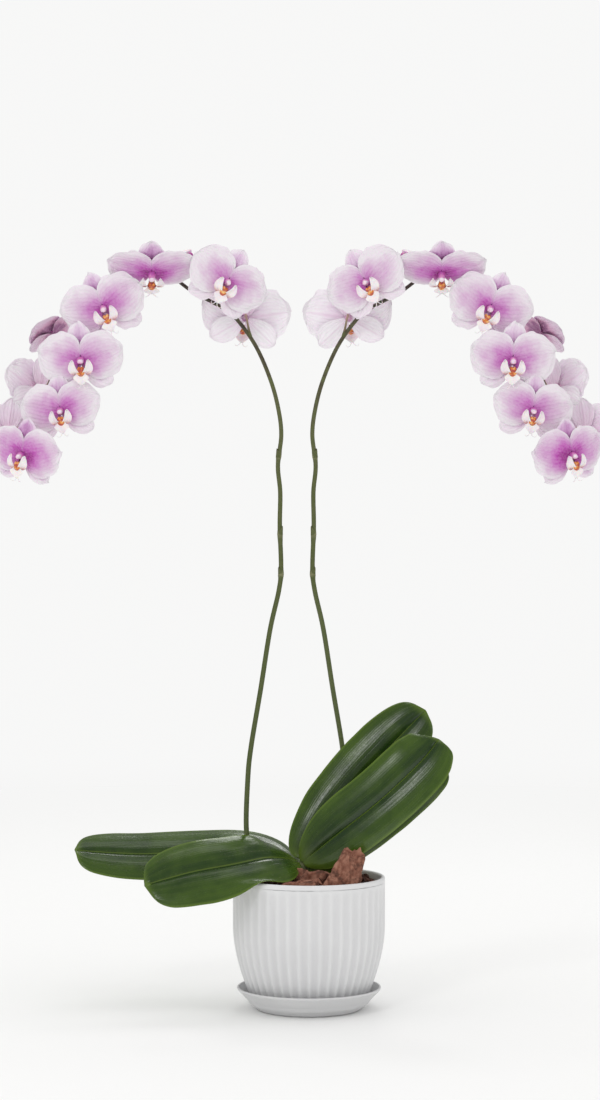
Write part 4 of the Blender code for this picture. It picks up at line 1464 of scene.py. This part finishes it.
def bloom_rows(size, angle, width, depth, cup, frill, seed, painted_light, counts):
    """Rows over a petal or sepal that leaves the flower's centre at an angle."""
    length, half_width = size
    along, across = counts
    run = Vector((math.cos(math.radians(angle)), 0, math.sin(math.radians(angle))))
    side = Vector((-run.z, 0, run.x))
    rows = []
    for i in range(along + 1):
        share = i / along
        a = 0.045 + 0.955 * math.sin(math.pi / 2 * share) ** 0.85
        row = []
        for k in range(across + 1):
            b = math.sin(math.pi / 2 * (2 * k / across - 1)) * 0.55 + 0.45 * (2 * k / across - 1)
            outer = max(abs(b) ** 2, smooth_step(0.45, 1.0, a)) * smooth_step(0.15, 0.5, a)
            nick_place = (a * 2 * math.copysign(1, b), b * 2, 0)
            nick = 1 + NICK_SHARE * outer * waver(nick_place, 0.33, seed)
            wide = width(a)
            reach = length * (a - 0.12 * a**3 * (wide * b) ** 2) * nick
            place = run * reach + side * half_width * wide * b * nick
            radial = place.length
            place.y = depth + cup * radial * radial
            pillow = PILLOW_HEIGHT * math.sin(math.pi * min(1.0, abs(b) * 1.05)) * wide
            groove = MIDRIB_GROOVE * math.exp(-((b / 0.1) ** 2)) * (1 - a)
            flat = (place.x, place.z, 0)
            waves = frill * outer * waver(flat, FRILL_REACH, seed + 3)
            slow = frill * 0.9 * a * waver(flat, WAVE_REACH, seed + 8)
            place.y += groove - pillow + waves + slow
            row.append((place, a, b, radial / PETAL_LENGTH, painted_light))
        rows.append(row)
    return rows


def petals(name, matrix, draw, painted_light):
    cup = BACKWARD_CURVE * draw.uniform(0.75, 1.2)
    shape = Shape(*BLADE_READINGS)
    for flip in (1, -1):
        angle = PETAL_ANGLE + draw.uniform(-2.5, 2.5)
        angle = angle if flip > 0 else 180 - angle
        size = (PETAL_LENGTH, PETAL_HALF_WIDTH * draw.uniform(0.98, 1.04))
        rows = bloom_rows(
            size, angle, petal_width, PETAL_DEPTH, cup, PETAL_FRILL,
            draw.uniform(0, 50), painted_light + draw.uniform(-0.3, 0.3), (26, 24),
        )
        add_blade(shape, oriented(rows), PETAL_THICKNESS)
    shape.piece(f"{name}_bloom", ["petal"], "petal", f"{name}_petals", matrix=matrix)


def oriented(rows):
    """Puts a blade's front on the side that faces the flower's front."""
    middle = len(rows) // 2
    run = rows[middle + 1][len(rows[0]) // 2][0] - rows[middle][len(rows[0]) // 2][0]
    side = rows[middle][-1][0] - rows[middle][0][0]
    if run.cross(side).y > 0:
        return [row[::-1] for row in rows]
    return rows


def sepals(name, matrix, draw, painted_light):
    """Three sepals around the short cone that the stalk joins."""
    cup = BACKWARD_CURVE * draw.uniform(0.8, 1.3)
    shape = Shape(*BLADE_READINGS)
    size = (SEPAL_LENGTH, SEPAL_HALF_WIDTH * SEPAL_FULLNESS)
    for angle in SEPAL_ANGLES:
        shade = UPPER_SEPAL_SHADE if angle == 90 else LOWER_SEPAL_TONE
        rows = bloom_rows(
            size, angle + draw.uniform(-3, 3), sepal_width, SEPAL_DEPTH, cup, SEPAL_FRILL,
            draw.uniform(0, 50), painted_light + shade, (20, 12),
        )
        add_blade(shape, oriented(rows), PETAL_THICKNESS)
    cone = [Vector((0, y, 0)) for y in (-0.0006, 0.0012, 0.003, 0.0048, RECEPTACLE_DEPTH)]
    add_tube(shape, cone, [0.0036, 0.0034, 0.0028, 0.0021, 0.0017], sides=12)
    shape.piece(f"{name}_calyx", ["sepal"], "sepal", f"{name}_sepals", matrix=matrix)


def lip(name, matrix, painted_light):
    """Upturned side lobes, orange crest, pointed middle lobe with two tendrils."""
    shape = Shape(*BLADE_READINGS)
    for flip in (1, -1):
        rows = []
        for i in range(13):
            a = i / 12
            spine = curve_point(
                [
                    Vector((flip * 0.0028, -0.0065, -0.0125)),
                    Vector((flip * 0.006, -0.0088, -0.0095)),
                    Vector((flip * 0.0082, -0.0095, -0.004)),
                    Vector((flip * 0.0076, -0.0088, 0.0026)),
                ],
                a,
            )
            wide = 0.0064 * math.sin(math.pi * (0.12 + 0.88 * a) ** 0.95) ** 0.7 + 0.0003
            row = []
            for k in range(9):
                b = 2 * k / 8 - 1
                out = Vector((flip * 0.62, 0.2, -0.06)) * wide * b
                curl = Vector((0, -0.0026 * b * b, 0))
                row.append((spine + out + curl, a, b, a, painted_light))
            rows.append(row)
        add_blade(shape, oriented(rows), 0.0006)
    rows = []
    for i in range(19):
        a = i / 18
        spine = curve_point(
            [
                Vector((0, -0.0045, -0.0055)),
                Vector((0, -0.0092, -0.0105)),
                Vector((0, -0.0105, -0.0155)),
                Vector((0, -0.0088, -0.0215)),
            ],
            a,
        )
        wide = 0.0026 + 0.0048 * math.exp(-(((a - 0.6) / 0.24) ** 2))
        wide *= math.sqrt(max(0.0, 1 - a**6)) + 0.02
        row = []
        for k in range(11):
            b = 2 * k / 10 - 1
            keel = 0.0016 * abs(b) ** 1.5 * (1 - 0.5 * a)
            row.append((spine + Vector((wide * b, -keel, 0)), a, b, a, painted_light))
        rows.append(row)
    add_blade(shape, oriented(rows), 0.0008)
    for flip in (1, -1):
        path = [
            Vector((flip * 0.0006, -0.0088, -0.0208)),
            Vector((flip * 0.0022, -0.0088, -0.0238)),
            Vector((flip * 0.0046, -0.0105, -0.0244)),
            Vector((flip * 0.0058, -0.0125, -0.0224)),
        ]
        points = [curve_point(path, i / 12) for i in range(13)]
        radii = [0.00045 - 0.0003 * i / 12 for i in range(13)]
        add_tube(shape, points, radii, sides=6, readings=lambda share, point: {"along": 0.8})
    crest = Matrix.Translation((0, -0.0098, -0.0085)) @ Matrix.Diagonal((0.0038, 0.0032, 0.0052, 1))

    def cleft(place):
        return place * (1 - 0.28 * math.exp(-((place.x / 0.3) ** 2)) * (place.z > -0.2))

    add_ball(shape, crest, slot=1, sides=20, rings=12, bend=cleft)
    shape.piece(f"{name}_lip", ["lip", "callus"], "petal", matrix=matrix)


def column(name, matrix):
    """Column that leans forward and ends in a white cap, pinker towards its underside and drawn out
    into a beak below.
    """
    shape = Shape(*BLADE_READINGS)
    path = [
        Vector((0, 0.0002, 0.0004)),
        Vector((0, -0.0028, 0.0012)),
        Vector((0, -0.0058, 0.0013)),
        Vector((0, -0.0084, 0.0004)),
    ]
    points = [curve_point(path, i / 14) for i in range(15)]
    radii = []
    for i in range(15):
        radii.append(0.0024 + 0.0008 * math.sin(math.pi * i / 14) + 0.0004 * i / 14)
    add_tube(shape, points, radii, sides=16, readings=lambda share, point: {"along": 0.72 * share})
    cap = Matrix.Translation((0, -0.0094, 0.0003)) @ Matrix.Diagonal((0.0027, 0.0021, 0.0024, 1))

    def beak(place):
        if place.z < 0:
            place = place * (1 - 0.25 * place.z * place.z)
        return place + Vector((0, -0.35 * max(0.0, -place.z) ** 2, 0))

    add_ball(shape, cap, sides=16, rings=10, along=lambda share: 1.0 - 0.35 * share, bend=beak)
    shape.piece(f"{name}_column", ["column"], "petal", matrix=matrix)


def flowers():
    for side, mirror in SIDES:
        for number, flower in enumerate(FLOWERS, 1):
            draw = random.Random(100 * number)
            name = f"flower_{side}_{number:02d}"
            matrix = flower_matrix(flower, mirror)
            if mirror < 0:
                matrix = matrix @ Matrix.Scale(-1, 4, (1, 0, 0))
            painted_light = flower[-1]
            petals(name, matrix, draw, painted_light)
            sepals(name, matrix, draw, painted_light)
            lip(name, matrix, painted_light)
            column(name, matrix)


def main():
    place_camera()
    studio()
    pale_floor()
    saucer()
    pot()
    bark_bed()
    bark_chips()
    for name in BARK_CHUNKS:
        bark_chunk(name)
    crown()
    for name in LEAVES:
        leaf(name)
    for side, mirror in SIDES:
        spike(side, mirror)
    flowers()


main()
